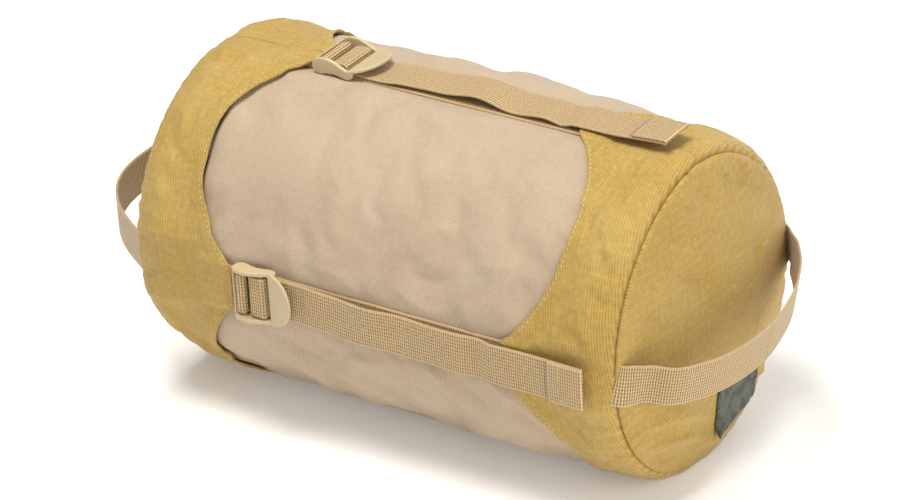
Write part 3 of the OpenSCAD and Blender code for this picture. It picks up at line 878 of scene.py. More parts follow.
def end_panel(name, seam_x, way, dome, lines, seed, material):
    """Domed end panel as a closed shell, its rim turned down into the seam."""
    count = 288
    turn = np.linspace(0, 2 * math.pi, count, endpoint=False)[None, :]
    rim = [(3.8, 0.1), (2.6, 0.2), (1.7, 0.5), (1.2, 1.1)]
    seam = seam_line(turn, seam_x)
    inner_r = seam - 1.3 - (seam - 2.8) * np.linspace(0, 1, 52)[:, None] ** 0.9
    reach = np.concatenate([seam - back_in for back_in, _ in rim] + [inner_r])
    across, up = -reach * np.sin(turn), reach * np.cos(turn)
    over = 1.3 + disc_bulge(across, up, dome, lines, seed, seam_x)
    for k, (_, height) in enumerate(rim):
        over[k] = height
    up = np.maximum(up, -centre_h + 0.15)
    outer = np.stack([seam_x + way * over, across, centre_h + up], -1) / 1000
    inner = np.stack([seam_x + way * np.maximum(over - 1.0, -0.4 - 0 * over),
                      across * 0.995, centre_h + up * 0.995], -1) / 1000
    weave = np.stack([across, up, 0 * up], -1)
    rows = len(reach)
    number = np.arange(rows * count).reshape(rows, count)
    turned = np.roll(number, -1, 1)
    middle = 2 * rows * count
    under, under_turned = number + rows * count, turned + rows * count
    faces = (faces_of(number[:-1], number[1:], turned[1:], turned[:-1])
             + faces_of(under[:-1], under_turned[:-1], under_turned[1:], under[1:])
             + faces_of(number[0], turned[0], under_turned[0], under[0]))
    points = np.concatenate([outer.reshape(-1, 3), inner.reshape(-1, 3),
                             outer[-1].mean(0)[None], inner[-1].mean(0)[None]])
    hub = np.full(count, middle)
    faces += faces_of(number[-1], hub, turned[-1])
    faces += faces_of(under[-1], under_turned[-1], hub + 1)
    flat = weave.reshape(-1, 3)
    weave = np.concatenate([flat, flat, np.zeros((2, 3))])
    if way < 0:
        faces = [face[::-1] for face in faces]
    return put_in_scene(name, points, faces, material, weave)


disc = end_panel("base_disc_panel", base_seam, 1, disc_dome, disc_creases, 1.0, ripstop)
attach(disc, "sack")
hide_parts("base_panel")


# ---------------------------------------------------------------------------------------
# Seam bindings
# Inside each end, grosgrain tape 10 mm wide is folded over the raw edges of the seam.
# ---------------------------------------------------------------------------------------
# Grosgrain: cross ribs that are really about 0.8 mm apart, drawn at 1.4 mm
tape, tape_tree, tape_shader = start_material("dark_grosgrain_tape")
tape_weave = add(tape_tree, "ShaderNodeAttribute", attribute_name="weave_mm").outputs["Vector"]
tape_round = add(tape_tree, "ShaderNodeSeparateXYZ", {"Vector": tape_weave}).outputs["X"]
tape_rib_pitch = 1.4
tape_share = add(tape_tree, "ShaderNodeMapRange",
                 {"Value": wave(tape_tree, tape_round, tape_rib_pitch), "From Min": -1.0},
                 clamp=True).outputs["Result"]
tape_tone = add(tape_tree, "ShaderNodeMix",
                {"Factor": tape_share, "A": linear("#4E4331"), "B": linear("#6E6147")},
                data_type="RGBA").outputs["Result"]
tape_bump = add(tape_tree, "ShaderNodeBump",
                {"Height": tape_share, "Strength": 0.6, "Distance": 0.0003}).outputs["Normal"]
connect(tape_tree, tape_shader, {"Base Color": tape_tone, "Normal": tape_bump,
                                 "Roughness": 0.8, "Sheen Weight": 0.2})

for node, body in (("base_binding", "sack"), ("lid_binding", "lid")):
    tape_low, tape_high = box_mm(node)
    half = (tape_high[0] - tape_low[0]) / 2
    reach = np.array([-1, -0.97, -0.85, -0.5, 0, 0.5, 0.85, 0.97, 1])[:, None]
    tape_x = (tape_low[0] + tape_high[0]) / 2 + reach * half
    tape_turn = np.broadcast_to(turns, (len(reach), columns))
    swell = 0.08 + 0.92 * np.sqrt(np.clip(1 - np.abs(reach) ** 6, 0, 1))
    ruffle = 0.35 * np.sin(31 * tape_turn + 2 * np.sin(4 * tape_turn))
    middle = sack_radius(tape_x, tape_turn) - 2.9 + ruffle
    binding = fabric_tube(node + "_tape", around(tape_x, tape_turn, middle + 0.8 * swell),
                          around(tape_x, tape_turn, middle - 0.8 * swell),
                          weave_of(tape_x, tape_turn), tape)
    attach(binding, body)
    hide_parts(node)


# ---------------------------------------------------------------------------------------
# Woven label
# A damask patch in olive, 50 by 40 mm, sewn to the disc along its two short sides with black
# thread. Its free lower edge curls away. It carries only a plain blotched weave.
# ---------------------------------------------------------------------------------------
def fabric_patch(name, outer, inner, weave, material):
    """Closed slab between an outer and an inner grid of points with four free sides."""
    rows, width = outer.shape[:2]
    number = np.arange(rows * width).reshape(rows, width)
    under = number + rows * width
    ring = np.concatenate([number[0], number[1:, -1], number[-1, -2::-1], number[-2:0:-1, 0]])
    ahead = np.roll(ring, -1)
    faces = (faces_of(number[:-1, :-1], number[:-1, 1:], number[1:, 1:], number[1:, :-1])
             + faces_of(under[1:, :-1], under[1:, 1:], under[:-1, 1:], under[:-1, :-1])
             + faces_of(ahead, ring, ring + rows * width, ahead + rows * width))
    points = np.concatenate([outer.reshape(-1, 3), inner.reshape(-1, 3)])
    return put_in_scene(name, points, faces, material, np.concatenate([weave.reshape(-1, 3)] * 2))


# Damask: fine ribs really 0.4 mm apart, drawn at 1.1 mm, with soft blotches 4 to 8 mm wide
damask, damask_tree, damask_shader = start_material("olive_damask_weave")
damask_weave = add(damask_tree, "ShaderNodeAttribute",
                   attribute_name="weave_mm").outputs["Vector"]
damask_up = add(damask_tree, "ShaderNodeSeparateXYZ", {"Vector": damask_weave}).outputs["Y"]
damask_rib_pitch = 1.1
damask_rib = wave(damask_tree, damask_up, damask_rib_pitch)
blotch = add(damask_tree, "ShaderNodeTexNoise",
             {"Vector": damask_weave, "Scale": 0.14, "Detail": 2.5,
              "Distortion": 0.6}).outputs["Fac"]
dark_part = add(damask_tree, "ShaderNodeMapRange",
                {"Value": blotch, "From Min": 0.50, "From Max": 0.56}, clamp=True).outputs["Result"]
damask_ground = add(damask_tree, "ShaderNodeMix",
                    {"Factor": dark_part, "A": linear("#4C5238"), "B": linear("#20251A")},
                    data_type="RGBA").outputs["Result"]
rib_share = add(damask_tree, "ShaderNodeMapRange",
                {"Value": damask_rib, "From Min": -1.0, "To Max": 0.35},
                clamp=True).outputs["Result"]
damask_tone = add(damask_tree, "ShaderNodeMix",
                  {"Factor": rib_share, "A": damask_ground, "B": linear("#23281B")},
                  data_type="RGBA").outputs["Result"]
damask_bump = add(damask_tree, "ShaderNodeBump",
                  {"Height": damask_rib, "Strength": 0.4, "Distance": 0.0002}).outputs["Normal"]
connect(damask_tree, damask_shader, {"Base Color": damask_tone, "Normal": damask_bump,
                                     "Roughness": 0.75, "Sheen Weight": 0.25})
# Black thread, its second colour the painted shade in the grooves between strands
black_thread = thread_material("black_bonded_nylon_thread", "#2A2A28", "#121211")

patch_low, patch_high = box_mm("base_label")
patch_across, patch_up = np.meshgrid(
    np.linspace(patch_low[1] + 0.2, patch_high[1] - 0.2, 44),
    np.linspace(patch_low[2] + 0.2, patch_high[2] - 0.2, 36) - centre_h)


def label_base(across, up):
    """How far the label's underside stands out from the base seam."""
    bulge = disc_bulge(across, up, disc_dome, disc_creases, 1.0, base_seam)
    low = np.clip((patch_low[2] - centre_h + 14 - up) / 14, 0, 1)
    free = np.clip(1 - (across - patch_low[1]) / 30, 0, 1)
    return base_seam + 1.6 + bulge + 2.6 * low ** 2 * free + 0.9 * low ** 2


patch_x = label_base(patch_across, patch_up)
label = fabric_patch(
    "woven_label",
    np.stack([patch_x + 0.7, patch_across, patch_up + centre_h], -1) / 1000,
    np.stack([patch_x, patch_across, patch_up + centre_h], -1) / 1000,
    np.stack([patch_across, patch_up, 0 * patch_up], -1), damask)
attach(label, "sack")
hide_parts("base_label")

label_rows = []
for side_y in (patch_low[1] + 2.2, patch_high[1] - 2.2):
    ups = np.linspace(patch_low[2] + 1.5, patch_high[2] - 1.5, 24) - centre_h
    row_x = label_base(np.full(24, side_y), ups) + 0.75
    label_rows.append((np.stack([row_x, np.full(24, side_y), ups + centre_h], -1) / 1000,
                       np.tile([1.0, 0.0, 0.0], (24, 1))))
label_stitch = stitches("label_stitching", label_rows, black_thread, 2.2, 2.9, 0.6)
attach(label_stitch, "sack")


# ---------------------------------------------------------------------------------------
# Lid
# A separate cap of ripstop pulls over the mouth of the filled sack. Its skirt is scalloped
# like the band, but its turned edge is loose and stands a little off the barrel.
# ---------------------------------------------------------------------------------------
skirt_tip, skirt_depth = box_mm("lid_skirt")[1][0], 30
skirt_creases = wrapped([
    (-141, 42, -118, 54, 4.5, -1.5), (-146, 36, -126, 44, 4.0, 1.0), (-148, 8, -120, 20, 5.0, -1.2),
    (-149, 350, -128, 8, 4.5, 1.2), (-149, 70, -126, 64, 5.0, 1.0), (-148, 98, -132, 90, 4.0, -1.3),
    (-149, 106, -130, 100, 4.0, 1.2), (-112, 66, -100, 86, 6.0, -0.6),
    (-114, 20, -96, 34, 6.0, 0.7), (-147, 128, -126, 134, 5.0, -1.3),
    (-148, 300, -124, 290, 5.0, 1.2), (-146, 250, -120, 242, 5.0, -1.2),
    (-148, 208, -122, 214, 5.0, 1.2),
] + scattered(17, 22, (-136, -104), (0, 345), 0.5))


def skirt_inside(x, turn, s):
    """Inner face of the lid's skirt: a loose cap that flares at its edge."""
    away = x - crown_seam
    under = 1 - ease(45, 75, np.degrees(np.abs((turn % (2 * math.pi)) - math.pi)))
    loose = 1.0 + 1.0 * np.exp(-((x + 122) / 20) ** 2) * (1 - under)
    flare = 0.9 * np.exp(-s / 6) * ease(12, 30, from_strap(turn)) * (1 - under)
    wrinkles = (0.7 * puckers(turn, away, 5.0, 12.0)
                + 1.7 * creases((turn % (2 * math.pi)) * unrolled_r, x, skirt_creases)
                * ease(0, 4, away))
    under_lid = np.where(x < mouth_x - 2, 2.5, 0.0)
    return (sack_radius(x, turn) + loose * ease(0, 20, away) + flare
            + arm_lift(x, turn, -106, -60, 2.2)
            + np.maximum(wrinkles, 0.15 - loose * ease(0, 20, away) - under_lid))


skirt_row = 2.0
skirt_x, skirt_turn, skirt_s = scalloped_panel(skirt_tip, skirt_depth, 1, crown_seam + 0.5)
skirt_out, skirt_in = lay_panel(skirt_inside(skirt_x, skirt_turn, skirt_s),
                                hem_thick(skirt_s, 1.0, 1.7), skirt_turn, skirt_s, skirt_row)
skirt = fabric_tube("lid_skirt_panel",
                    *turned_down(skirt_x, skirt_turn, skirt_out, skirt_in, -1), ripstop)
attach(skirt, "lid")
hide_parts("lid_skirt")

skirt_stitch = stitches(
    "lid_skirt_stitching",
    [edge_row(skirt_x, skirt_turn, skirt_s, skirt_out, skirt_row)], light_thread)
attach(skirt_stitch, "lid")

random = np.random.default_rng(33)
crown_creases = []
for _ in range(26):
    around_at, start = random.uniform(0, 2 * math.pi), random.uniform(50, 90)
    inner_end = start - random.uniform(20, 45)
    drift = around_at + random.uniform(-0.3, 0.3)
    crown_creases.append((start * math.cos(around_at), start * math.sin(around_at),
                          inner_end * math.cos(drift), inner_end * math.sin(drift),
                          random.uniform(3.2, 6.0),
                          random.choice((-1, 1)) * random.uniform(0.6, 1.7)))
crown = end_panel("lid_crown_panel", crown_seam, -1, crown_high[0] - crown_low[0] - 2.6,
                  crown_creases, 3.0, ripstop)
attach(crown, "lid")
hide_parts("lid_panel")


# ---------------------------------------------------------------------------------------
# Buckle tabs
# On each arm of the lid a short length of 25 mm webbing is sewn under the edge and folded
# round the rear bar of its buckle.
# ---------------------------------------------------------------------------------------
# Flat woven nylon: cross ribs over chain columns, really about 0.8 and 1.3 mm apart, drawn
# at 1.45 and 2.1 mm
webbing, webbing_tree, webbing_shader = start_material("flat_woven_nylon_webbing")
web_weave = add(webbing_tree, "ShaderNodeAttribute", attribute_name="weave_mm").outputs["Vector"]
web_parts = add(webbing_tree, "ShaderNodeSeparateXYZ", {"Vector": web_weave})
chain_pitch, rib_pitch = 2.08, 1.45
chain_wave = wave(webbing_tree, web_parts.outputs["X"], 2 * chain_pitch)
chain_rise = add(webbing_tree, "ShaderNodeMath", {0: chain_wave}, operation="ABSOLUTE").outputs[0]
# Each rib bows a little over each chain column
rib_turn = add(webbing_tree, "ShaderNodeMath",
               {0: web_parts.outputs["Y"], 1: 2 * math.pi / rib_pitch, 2: chain_rise},
               operation="MULTIPLY_ADD").outputs[0]
rib_wave = add(webbing_tree, "ShaderNodeMath", {0: rib_turn}, operation="SINE").outputs[0]
rib_rise = add(webbing_tree, "ShaderNodeMath", {0: rib_wave, 1: 0.5, 2: 0.5},
               operation="MULTIPLY_ADD").outputs[0]
knit = add(webbing_tree, "ShaderNodeMath", {0: chain_rise, 1: 0.55, 2: rib_rise},
           operation="MULTIPLY_ADD").outputs[0]
fibre = add(webbing_tree, "ShaderNodeTexNoise",
            {"Vector": web_weave, "Scale": 0.9, "Detail": 3.0}).outputs["Fac"]
knit_uneven = add(webbing_tree, "ShaderNodeMath", {0: fibre, 1: 0.9, 2: knit},
                  operation="MULTIPLY_ADD").outputs[0]
web_depth = add(webbing_tree, "ShaderNodeMapRange",
                {"Value": knit_uneven, "From Min": 0.4, "From Max": 1.75},
                clamp=True).outputs["Result"]
web_tone = add(webbing_tree, "ShaderNodeMix",
               {"Factor": web_depth, "A": linear("#5A4222"), "B": linear("#DCBB87")},
               data_type="RGBA").outputs["Result"]
web_edge = add(webbing_tree, "ShaderNodeMath", {0: web_parts.outputs["X"]},
               operation="ABSOLUTE").outputs[0]
web_selvage = add(webbing_tree, "ShaderNodeMapRange",
                  {"Value": web_edge, "From Min": 11.2, "From Max": 12.0, "To Max": 0.55},
                  clamp=True).outputs["Result"]
web_colour = add(webbing_tree, "ShaderNodeMix",
                 {"Factor": web_selvage, "A": web_tone, "B": linear("#CFB187")},
                 data_type="RGBA").outputs["Result"]
web_bump = add(webbing_tree, "ShaderNodeBump",
               {"Height": knit, "Strength": 0.9, "Distance": 0.0005}).outputs["Normal"]
connect(webbing_tree, webbing_shader, {
    "Base Color": web_colour, "Normal": web_bump, "Roughness": 0.62, "Sheen Weight": 0.25,
    "Sheen Roughness": 0.4, "Specular IOR Level": 0.4})

# Half the webbing's width, and the upper half of its section with thicker selvages
half_web = 12.5
web_section = [(-half_web, 0.0), (-12.35, 0.42), (-11.9, 0.66), (-10.4, 0.7), (-7, 0.66),
               (-3.5, 0.66), (0, 0.66), (3.5, 0.66), (7, 0.66), (10.4, 0.7), (11.9, 0.66),
               (12.35, 0.42), (half_web, 0.0)]
web_section = np.array(web_section + [(v, -n) for v, n in web_section[-2:0:-1]])


def web_ribbon(name, centres, outs, sides, bow=0.0, ripple=0.0, start=0.0):
    """Length of webbing along centre points in mm, with directions out and across. bow bends
    its edges back from the out direction, and ripple waves them."""
    centres, outs, sides = (np.asarray(a, float) for a in (centres, outs, sides))
    outs = np.broadcast_to(outs, centres.shape)
    sides = np.broadcast_to(sides, centres.shape)
    step = np.linalg.norm(np.diff(centres, axis=0), axis=1)
    run = start + np.concatenate([[0], np.cumsum(step)])
    v, n = web_section[:, 0], web_section[:, 1]
    bow = np.broadcast_to(bow, run.shape)[:, None]
    ripples = ripple * np.sin(2 * math.pi * run / 41 + 1.0)[:, None] * (v / half_web)
    rise = n + ripples - bow * (v / half_web) ** 2
    points = (centres[:, None] + sides[:, None] * v[None, :, None]
              + outs[:, None] * rise[:, :, None])
    count, ring = len(centres), len(v)
    number = np.arange(count * ring).reshape(count, ring)
    turned = np.roll(number, -1, 1)
    faces = faces_of(number[:-1], turned[:-1], turned[1:], number[1:])
    faces += [number[0, ::-1].tolist(), number[-1].tolist()]
    weave = np.stack(np.broadcast_arrays(v[None, :], run[:, None], 0.0), -1).reshape(-1, 3)
    piece = put_in_scene(name, points.reshape(-1, 3) / 1000, faces, webbing, weave)
    piece.data.polygons[len(faces) - 1].use_smooth = False
    piece.data.polygons[len(faces) - 2].use_smooth = False
    return piece


def strap_spot(side_name, x, v, w):
    """Points in mm at a place along a strap, across it, and above the fabric's bed."""
    turn = strap_turns[side_name]
    bed = under_bed if side_name == "bottom" else round_bed
    x, v, w = np.broadcast_arrays(np.asarray(x, float), v, w)
    return np.stack([x, v * math.cos(turn) - (bed + w) * math.sin(turn),
                     centre_h + v * math.sin(turn) + (bed + w) * math.cos(turn)], -1)


def smooth_path(corners, spacing):
    """Evenly spaced points on a smooth curve through a few corners."""
    corners = np.asarray(corners, float)
    padded = np.concatenate([2 * corners[:1] - corners[1:2], corners,
                             2 * corners[-1:] - corners[-2:-1]])
    fine = []
    for k in range(len(corners) - 1):
        a, b, c, d = padded[k:k + 4]
        t = np.linspace(0, 1, 24, endpoint=False)[:, None]
        fine.append(0.5 * (2 * b + (c - a) * t + (2 * a - 5 * b + 4 * c - d) * t ** 2
                           + (3 * b - a - 3 * c + d) * t ** 3))
    fine = np.concatenate(fine + [corners[-1:]])
    run = np.concatenate([[0], np.cumsum(np.linalg.norm(np.diff(fine, axis=0), axis=1))])
    count = max(3, int(run[-1] / spacing) + 1)
    at = np.linspace(0, run[-1], count)
    return np.stack([np.interp(at, run, fine[:, c]) for c in range(fine.shape[1])], -1)


def strap_piece(name, side_name, path, shift=0.0, bow=0.0, ripple=0.0, start=0.0):
    """Webbing on a strap line, from a path of (x, height above the bed) in mm."""
    path = np.asarray(path, float)
    ahead = np.gradient(path, axis=0)
    ahead /= np.linalg.norm(ahead, axis=1)[:, None]
    turn = strap_turns[side_name]
    outward = np.array([0, -math.sin(turn), math.cos(turn)])
    side = np.array([0, math.cos(turn), math.sin(turn)])
    outs = -ahead[:, 1:2] * np.array([1.0, 0, 0]) + ahead[:, :1] * outward
    if side_name == "bottom":
        bow = 0.0
    return web_ribbon(name, strap_spot(side_name, path[:, 0], shift, path[:, 1]), outs, side,
                      bow, ripple, start)


def arc(centre, radius, start_deg, end_deg, count):
    """Points on an arc, in the plane of a strap's length and height."""
    angle = np.radians(np.linspace(start_deg, end_deg, count))
    return np.stack([centre[0] + radius * np.cos(angle), centre[1] + radius * np.sin(angle)], -1)


buckle_x = box_mm("ladder_lock_top")[0][0]
tab_bar = np.array([buckle_x + 4.6, 5.2])
for side_name in strap_turns:
    lower = smooth_path([(buckle_x - 20, 1.1), (buckle_x - 8, 1.1), (buckle_x - 1, 1.25),
                         (buckle_x + 1.8, 1.75), (tab_bar[0], tab_bar[1] - 2.7)], 1.0)
    upper = smooth_path([tuple(arc(tab_bar, 2.7, 180, 181, 2)[0]), (buckle_x + 1.35, 3.9),
                         (buckle_x - 0.3, 2.95), (buckle_x - 2.6, 2.65), (buckle_x - 8, 2.6),
                         (buckle_x - 20, 2.6)], 0.9)
    tab = strap_piece("buckle_tab_" + side_name + "_loop", side_name,
                      np.concatenate([lower, arc(tab_bar, 2.7, -80, 180, 25), upper[1:]]))
    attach(tab, "lid")
    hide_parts("buckle_tab_" + side_name)


# ---------------------------------------------------------------------------------------
# Ladder locks
# Each strap has a one-piece buckle moulded in acetal: two cheeks, a thin rear rim, a round
# bar for the tab, a middle bar for the strap and a half-round plate that releases it.
# ---------------------------------------------------------------------------------------
# Acetal, moulded in a lightly spark-eroded die: a satin skin with a fine tooth, drawn at
# 0.5 mm, and slightly paler rubbed edges
acetal, acetal_tree, acetal_shader = start_material("satin_moulded_acetal")
acetal_where = add(acetal_tree, "ShaderNodeTexCoord").outputs["Object"]
tooth = add(acetal_tree, "ShaderNodeTexNoise",
            {"Vector": acetal_where, "Scale": 2000.0, "Detail": 2.0}).outputs["Fac"]
flow = add(acetal_tree, "ShaderNodeTexNoise",
           {"Vector": acetal_where, "Scale": 90.0, "Detail": 3.0}).outputs["Fac"]
acetal_tone = add(acetal_tree, "ShaderNodeMix",
                  {"Factor": flow, "A": linear("#BCA67F"), "B": linear("#C9B591")},
                  data_type="RGBA").outputs["Result"]
rubbed = add(acetal_tree, "ShaderNodeMapRange",
             {"Value": add(acetal_tree, "ShaderNodeNewGeometry").outputs["Pointiness"],
              "From Min": 0.52, "From Max": 0.6, "To Max": 0.45}, clamp=True).outputs["Result"]
acetal_colour = add(acetal_tree, "ShaderNodeMix",
                    {"Factor": rubbed, "A": acetal_tone, "B": linear("#DACBAA")},
                    data_type="RGBA").outputs["Result"]
acetal_bump = add(acetal_tree, "ShaderNodeBump",
                  {"Height": tooth, "Strength": 0.15, "Distance": 0.0001}).outputs["Normal"]
connect(acetal_tree, acetal_shader, {"Base Color": acetal_colour, "Normal": acetal_bump,
                                     "Roughness": 0.4, "IOR": 1.48})

lock_low, lock_high = box_mm("ladder_lock_top")
lock_wide = lock_high[1] - lock_low[1]
cheek_thick = 2.4
cheek_corners = [(0.7, 2.7), (2.3, 1.2), (4.6, 0.6), (8, 1.2), (11, 2.0), (15, 2.1), (19, 1.4),
                 (22, 0.7), (25, 0.8), (27, 2.2), (27.3, 4.4), (24, 5.7), (20, 7.4), (16, 9.3),
                 (12, 10.5), (8, 10.9), (4, 10.2), (1.6, 9.0), (0.3, 7.2), (0.1, 4.8), (0.7, 2.7)]


def prism(outline, low, high):
    """Closed solid (points, faces) from an outline of (along, height) between two places
    across the strap."""
    count = len(outline)
    points = [(u, side, w) for side in (low, high) for u, w in outline]
    faces = [list(range(count - 1, -1, -1)), list(range(count, 2 * count))]
    faces += [[k, (k + 1) % count, (k + 1) % count + count, k + count] for k in range(count)]
    return points, faces


cheek_outline = smooth_path(cheek_corners, 0.7)[:-1]
half_wide = lock_wide / 2
inside = half_wide - cheek_thick + 0.4
middle_bar = np.concatenate([arc((13.2, 4.8), 1.4, 90, 270, 14),
                             arc((18.6, 4.8), 1.4, -90, 90, 14)])
rear_rim = [(0.15, 6.9), (1.35, 6.9), (1.5, 7.6), (1.3, 8.4), (0.6, 8.4), (0.1, 7.6)]
solids = [
    prism(cheek_outline, half_wide - cheek_thick, half_wide),
    prism(cheek_outline, -half_wide, -half_wide + cheek_thick),
    prism(arc((4.6, 5.2), 1.7, 0, 345, 24), -inside, inside),
    prism(middle_bar, -inside, inside),
    prism(rear_rim, -inside, inside),
]
plate_slope = math.radians(15)
plate_rim = np.radians(np.linspace(-90, 90, 41))
plate_outline = [(-0.8, -half_wide),
                 *zip(half_wide * np.cos(plate_rim), half_wide * np.sin(plate_rim)),
                 (-0.8, half_wide)]
plate_x, plate_h = 25, 4.2
plate_points = []
for lift, pull in ((0.0, 0.5), (0.35, 0.0), (1.75, 0.0), (2.1, 0.5)):
    for u, v in plate_outline:
        u, v = u * (1 - pull / half_wide), v * (1 - pull / half_wide)
        dish = 0.5 * (1 - (u * u + v * v) / half_wide ** 2) * (1 if lift > 1 else 0)
        over = lift - dish
        plate_points.append(
            (plate_x + u * math.cos(plate_slope) - over * math.sin(plate_slope), v,
             plate_h + u * math.sin(plate_slope) + over * math.cos(plate_slope)))
plate_count = len(plate_outline)
plate_number = np.arange(len(plate_points)).reshape(-1, plate_count)
plate_next = np.roll(plate_number, -1, 1)
plate_faces = [plate_number[0, ::-1].tolist(), plate_number[-1].tolist()]
plate_faces += faces_of(plate_number[:-1], plate_next[:-1], plate_next[1:], plate_number[1:])
solids.append((plate_points, plate_faces))
lock_points, lock_faces = [], []
for points, faces in solids:
    lock_faces += [[i + len(lock_points) for i in face] for face in faces]
    lock_points += points

# Melting the solids into one skin gives the moulded part's small fillets
lock_mesh = bpy.data.meshes.new("lock_blank")
lock_mesh.from_pydata([tuple(map(float, p)) for p in lock_points], [], lock_faces)
blank = bpy.data.objects.new("lock_blank", lock_mesh)
bpy.context.scene.collection.objects.link(blank)
skin = blank.modifiers.new("skin", "REMESH")
skin.mode = "VOXEL"
skin.voxel_size = 0.42
soften = blank.modifiers.new("soften", "SMOOTH")
soften.factor = 0.5
soften.iterations = 4
thin_out = blank.modifiers.new("thin_out", "DECIMATE")
thin_out.ratio = 0.3
bpy.context.view_layer.update()
moulded = bpy.data.meshes.new_from_object(
    blank.evaluated_get(bpy.context.evaluated_depsgraph_get()))
moulded_points = np.array([v.co for v in moulded.vertices])
moulded_faces = [list(p.vertices) for p in moulded.polygons]
bpy.data.objects.remove(blank)
bpy.data.meshes.remove(lock_mesh)
bpy.data.meshes.remove(moulded)

for side_name in strap_turns:
    lock = put_in_scene(
        "ladder_lock_" + side_name + "_moulding",
        strap_spot(side_name, buckle_x + moulded_points[:, 0], moulded_points[:, 1],
                   moulded_points[:, 2]) / 1000, moulded_faces, acetal)
    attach(lock, "buckle_" + side_name)
    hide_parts("ladder_lock_" + side_name)


# ---------------------------------------------------------------------------------------
# Compression straps
# Four lengths of 25 mm webbing run from under the band's arms to the buckles, up over the
# middle bar and back as free tails. Each tail ends in a folded and sewn grip.
# ---------------------------------------------------------------------------------------
load_end = box_mm("load_strap_top")[1][0]
grip_low, grip_high = box_mm("strap_end_top")
# Heights above the bed of a load strap's and a tail's centre line, how far their edges bow
# back, and how far the folded grip's upper layer lies over its lower one, in mm
load_bed, tail_bed = 1.0, 2.75
load_bow, tail_bow = 0.7, 0.45
grip_rise = 1.56
# Slack of each tail: wave height, place of a crest, arch in the middle, sideways drift
tail_wave = {"top": (0.9, -24, 2.2, 1.4), "front": (0.75, 12, 0.0, -1.5),
             "bottom": (0.35, 30, 0.0, 0.8), "back": (0.7, 0, 0.6, 1.2)}
end_lift = {"top": 2.6, "front": 0.9, "bottom": 0.0, "back": 1.6}


def tail_height(side_name, x):
    """Height of a tail's centre over the bed: slack waves, then up over the band's arm."""
    height, crest, arch, _ = tail_wave[side_name]
    loose = ease(-34, -12, x) * (1 - ease(76, 92, x))
    free = (height * (1 + np.cos(2 * math.pi * (x - crest) / 54))
            + 0.25 * (1 + np.sin(x / 5.3 + crest)))
    free = free + arch * np.exp(-((x - 26) / 26) ** 2)
    over_band = 2.6 * ease(86, 98, x)
    end = end_lift[side_name] * ease(104, grip_high[0], x) ** 1.5
    return tail_bed + loose * free + over_band + end


def tail_shift(side_name, x):
    """Sideways drift of a tail from the load strap under it."""
    return tail_wave[side_name][3] * ease(-30, 0, x) * (1 - 0.6 * ease(80, 130, x))


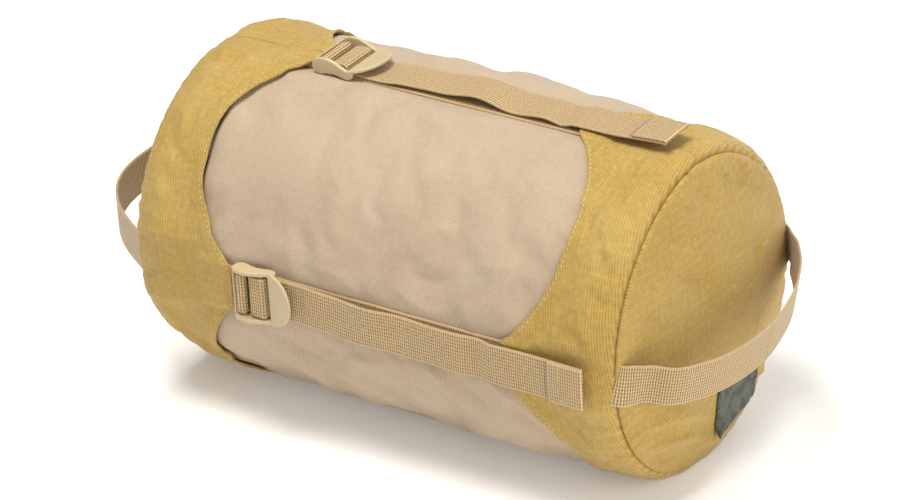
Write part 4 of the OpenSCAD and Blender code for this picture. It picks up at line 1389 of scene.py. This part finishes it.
for side_name in strap_turns:
    turn_out = out_of_sack(strap_turns[side_name])

    def spot(u, w):
        return tuple(strap_spot(side_name, buckle_x + u, 0.0, w) / 1000)

    load_x = np.linspace(buckle_x + 15, load_end - 0.2, 96)
    load = strap_piece("load_strap_" + side_name + "_webbing", side_name,
                       np.stack([load_x, np.full(96, load_bed)], -1), bow=load_bow)
    tuple(strap_spot(side_name, 96.0, 0.0, load_bed) / 1000)
    spot(15, load_bed)
    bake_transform(load)
    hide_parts("load_strap_" + side_name)

    rise = smooth_path([(10.8, 4.8), (10.8, 3.4), (11.2, 2.1), (12.6, 1.2), (15.0, load_bed)],
                       0.5)
    bridge = strap_piece("strap_bridge_" + side_name, side_name, rise + [buckle_x, 0],
                         bow=load_bow * ease(11.4, 15, rise[:, 0]), start=-4.9)
    spot(14, load_bed)
    spot(10.8, 4.5)
    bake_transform(bridge)

    over = np.concatenate([arc((13.2, 4.8), 2.4, 180, 90, 10), arc((18.6, 4.8), 2.4, 90, 0, 10)])
    wrap = strap_piece("strap_wrap_" + side_name + "_webbing", side_name, over + [buckle_x, 0],
                       start=0.4)
    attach(wrap, "buckle_" + side_name)
    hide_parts("strap_wrap_" + side_name)

    drop = smooth_path([(21.0, 4.8), (21.1, 3.8), (21.9, 3.05), (23.6, 2.77), (28, tail_bed),
                        (36, tail_bed), (45, tail_bed)], 0.9)
    down = strap_piece("strap_tail_start_" + side_name, side_name, drop + [buckle_x, 0],
                       bow=tail_bow * ease(22, 34, drop[:, 0]), start=13.0)
    spot(21.2, 4.3)
    spot(45, tail_bed)
    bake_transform(down)

    tail_x = np.linspace(buckle_x + 45, grip_low[0], 150)
    tail = strap_piece("strap_tail_" + side_name + "_webbing", side_name,
                       np.stack([tail_x, tail_height(side_name, tail_x)], -1),
                       shift=tail_shift(side_name, tail_x), bow=tail_bow,
                       ripple=0.35 * ease(buckle_x + 45, 0, tail_x)[:, None]
                       * (1 - ease(80, 120, tail_x))[:, None], start=38.7)
    spot(46, tail_bed)
    tuple(strap_spot(side_name, grip_low[0] - 2, 0.0, tail_bed) / 1000)
    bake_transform(tail)
    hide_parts("strap_tail_" + side_name)

    grip_x = np.linspace(grip_low[0], grip_high[0] - 1.5, 22)
    lower = np.stack([grip_x, tail_height(side_name, grip_x)], -1)
    tip = lower[-1] + [0, grip_rise / 2]
    upper = (lower + [0, grip_rise])[::-1][1:-3]
    roll = upper[-1] + np.array([[-0.9, -0.05], [-1.6, -0.45]])
    fold = np.concatenate([lower, arc(tip, grip_rise / 2, -70, 70, 6), upper, roll])
    fold_bow = np.concatenate([np.full(len(lower), tail_bow), np.linspace(0.4, -0.4, 6),
                               np.full(len(upper) + 2, -tail_bow)])
    grip = strap_piece("strap_end_" + side_name + "_grip", side_name, fold,
                       shift=float(tail_shift(side_name, grip_low[0])), bow=fold_bow, start=203.6)
    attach(grip, "tails")
    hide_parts("strap_end_" + side_name)

    grip_rows = []
    for row_x in (grip_low[0] + 6.0, grip_low[0] + 9.0):
        across = np.linspace(-11.3, 11.3, 20)
        shift = float(tail_shift(side_name, grip_low[0]))
        bend = 0.0 if side_name == "bottom" else tail_bow * (across / half_web) ** 2
        row_w = float(tail_height(side_name, row_x)) + grip_rise + 0.68 - bend
        grip_rows.append((strap_spot(side_name, row_x, across + shift, row_w) / 1000,
                          np.tile(turn_out, (20, 1))))
    grip_stitch = stitches("strap_end_" + side_name + "_stitching", grip_rows, light_thread,
                           2.1, 2.7, 0.55)
    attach(grip_stitch, "tails")


# ---------------------------------------------------------------------------------------
# Handles
# Each end has a carry loop of the same webbing, its ends caught in the end seam. The base
# handle droops and bends sharply near each end, and the lid's stands in a high even arch.
# ---------------------------------------------------------------------------------------
def handle_half(name, path, origin, along_axis, side_axis, twist, start):
    """One half of a handle, from a path of (place across, standing height) in mm."""
    path = np.asarray(path, float)
    ahead = np.gradient(path, axis=0)
    ahead /= np.linalg.norm(ahead, axis=1)[:, None]
    across = np.array([0.0, 1.0, 0.0])
    centres = origin + path[:, :1] * across + path[:, 1:2] * along_axis
    outs = -ahead[:, 1:2] * across + ahead[:, :1] * along_axis
    tilt = twist(path[:, 0])[:, None]
    sides = side_axis * np.cos(tilt) + outs * np.sin(tilt)
    outs = outs * np.cos(tilt) - side_axis * np.sin(tilt)
    return web_ribbon(name, centres, outs, sides, start=start)


droop = math.radians(11)
base_origin = np.array([base_seam - 0.1, 0, centre_h])
base_along = np.array([math.cos(droop), 0, -math.sin(droop)])
base_side = np.array([math.sin(droop), 0, math.cos(droop)])
# Bends of the handles as (place across, standing height) from the middle of their end panel
base_bends = [(-92.5, -2.2), (-92.4, 1.3), (-91.0, 4.2), (-88.6, 6.6), (-84.6, 9.6),
              (-79.4, 13.6), (-76.6, 18.0), (-74.0, 23.0), (-69.4, 27.4), (-62.6, 31.4),
              (-45.5, 38.4), (-21.5, 42.8), (0, 43.2), (14, 41.6), (39.4, 35.8), (62, 26.4),
              (76, 17.2), (84.6, 9.8), (88.6, 6.6), (91.0, 4.2), (92.4, 1.3), (92.5, -2.2)]
lid_origin = np.array([crown_seam + 0.1, 0, centre_h])
lid_reach = (lid_origin[0] - box_mm("lid_handle")[0][0]) - 0.7
lid_y = np.linspace(-92, 92, 240)
lid_arch = np.stack([lid_y, lid_reach * (1 - (np.abs(lid_y) / 92) ** 2.8)], -1)
lid_arch = np.concatenate([[(-93.6, -1.6)], lid_arch, [(93.6, -1.6)]])

for end_name, body, swing, path, origin, along_axis, side_axis, tilt_by in (
    ("base", "sack", "base_handle", smooth_path(base_bends, 1.2), base_origin, base_along,
     base_side, -droop),
    ("lid", "lid", "lid_handle", smooth_path(lid_arch[::6], 1.2), lid_origin,
     np.array([-1.0, 0, 0]), np.array([0, 0, 1.0]), 0.0),
):
    def twist(y):
        return tilt_by * ease(80, 90, np.abs(y))

    middle = int(np.argmin(np.abs(path[:, 0])))
    for half_name, part in (("front", path[:middle + 1]), ("back", path[middle:])):
        run = float(np.linalg.norm(np.diff(path[:middle + 1], axis=0), axis=1).sum())
        half = handle_half(end_name + "_handle_" + half_name + "_half", part, origin, along_axis,
                           side_axis, twist, 0.0 if half_name == "front" else run)
        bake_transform(half)
        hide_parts(swing, end_name + "_handle_end_" + half_name)
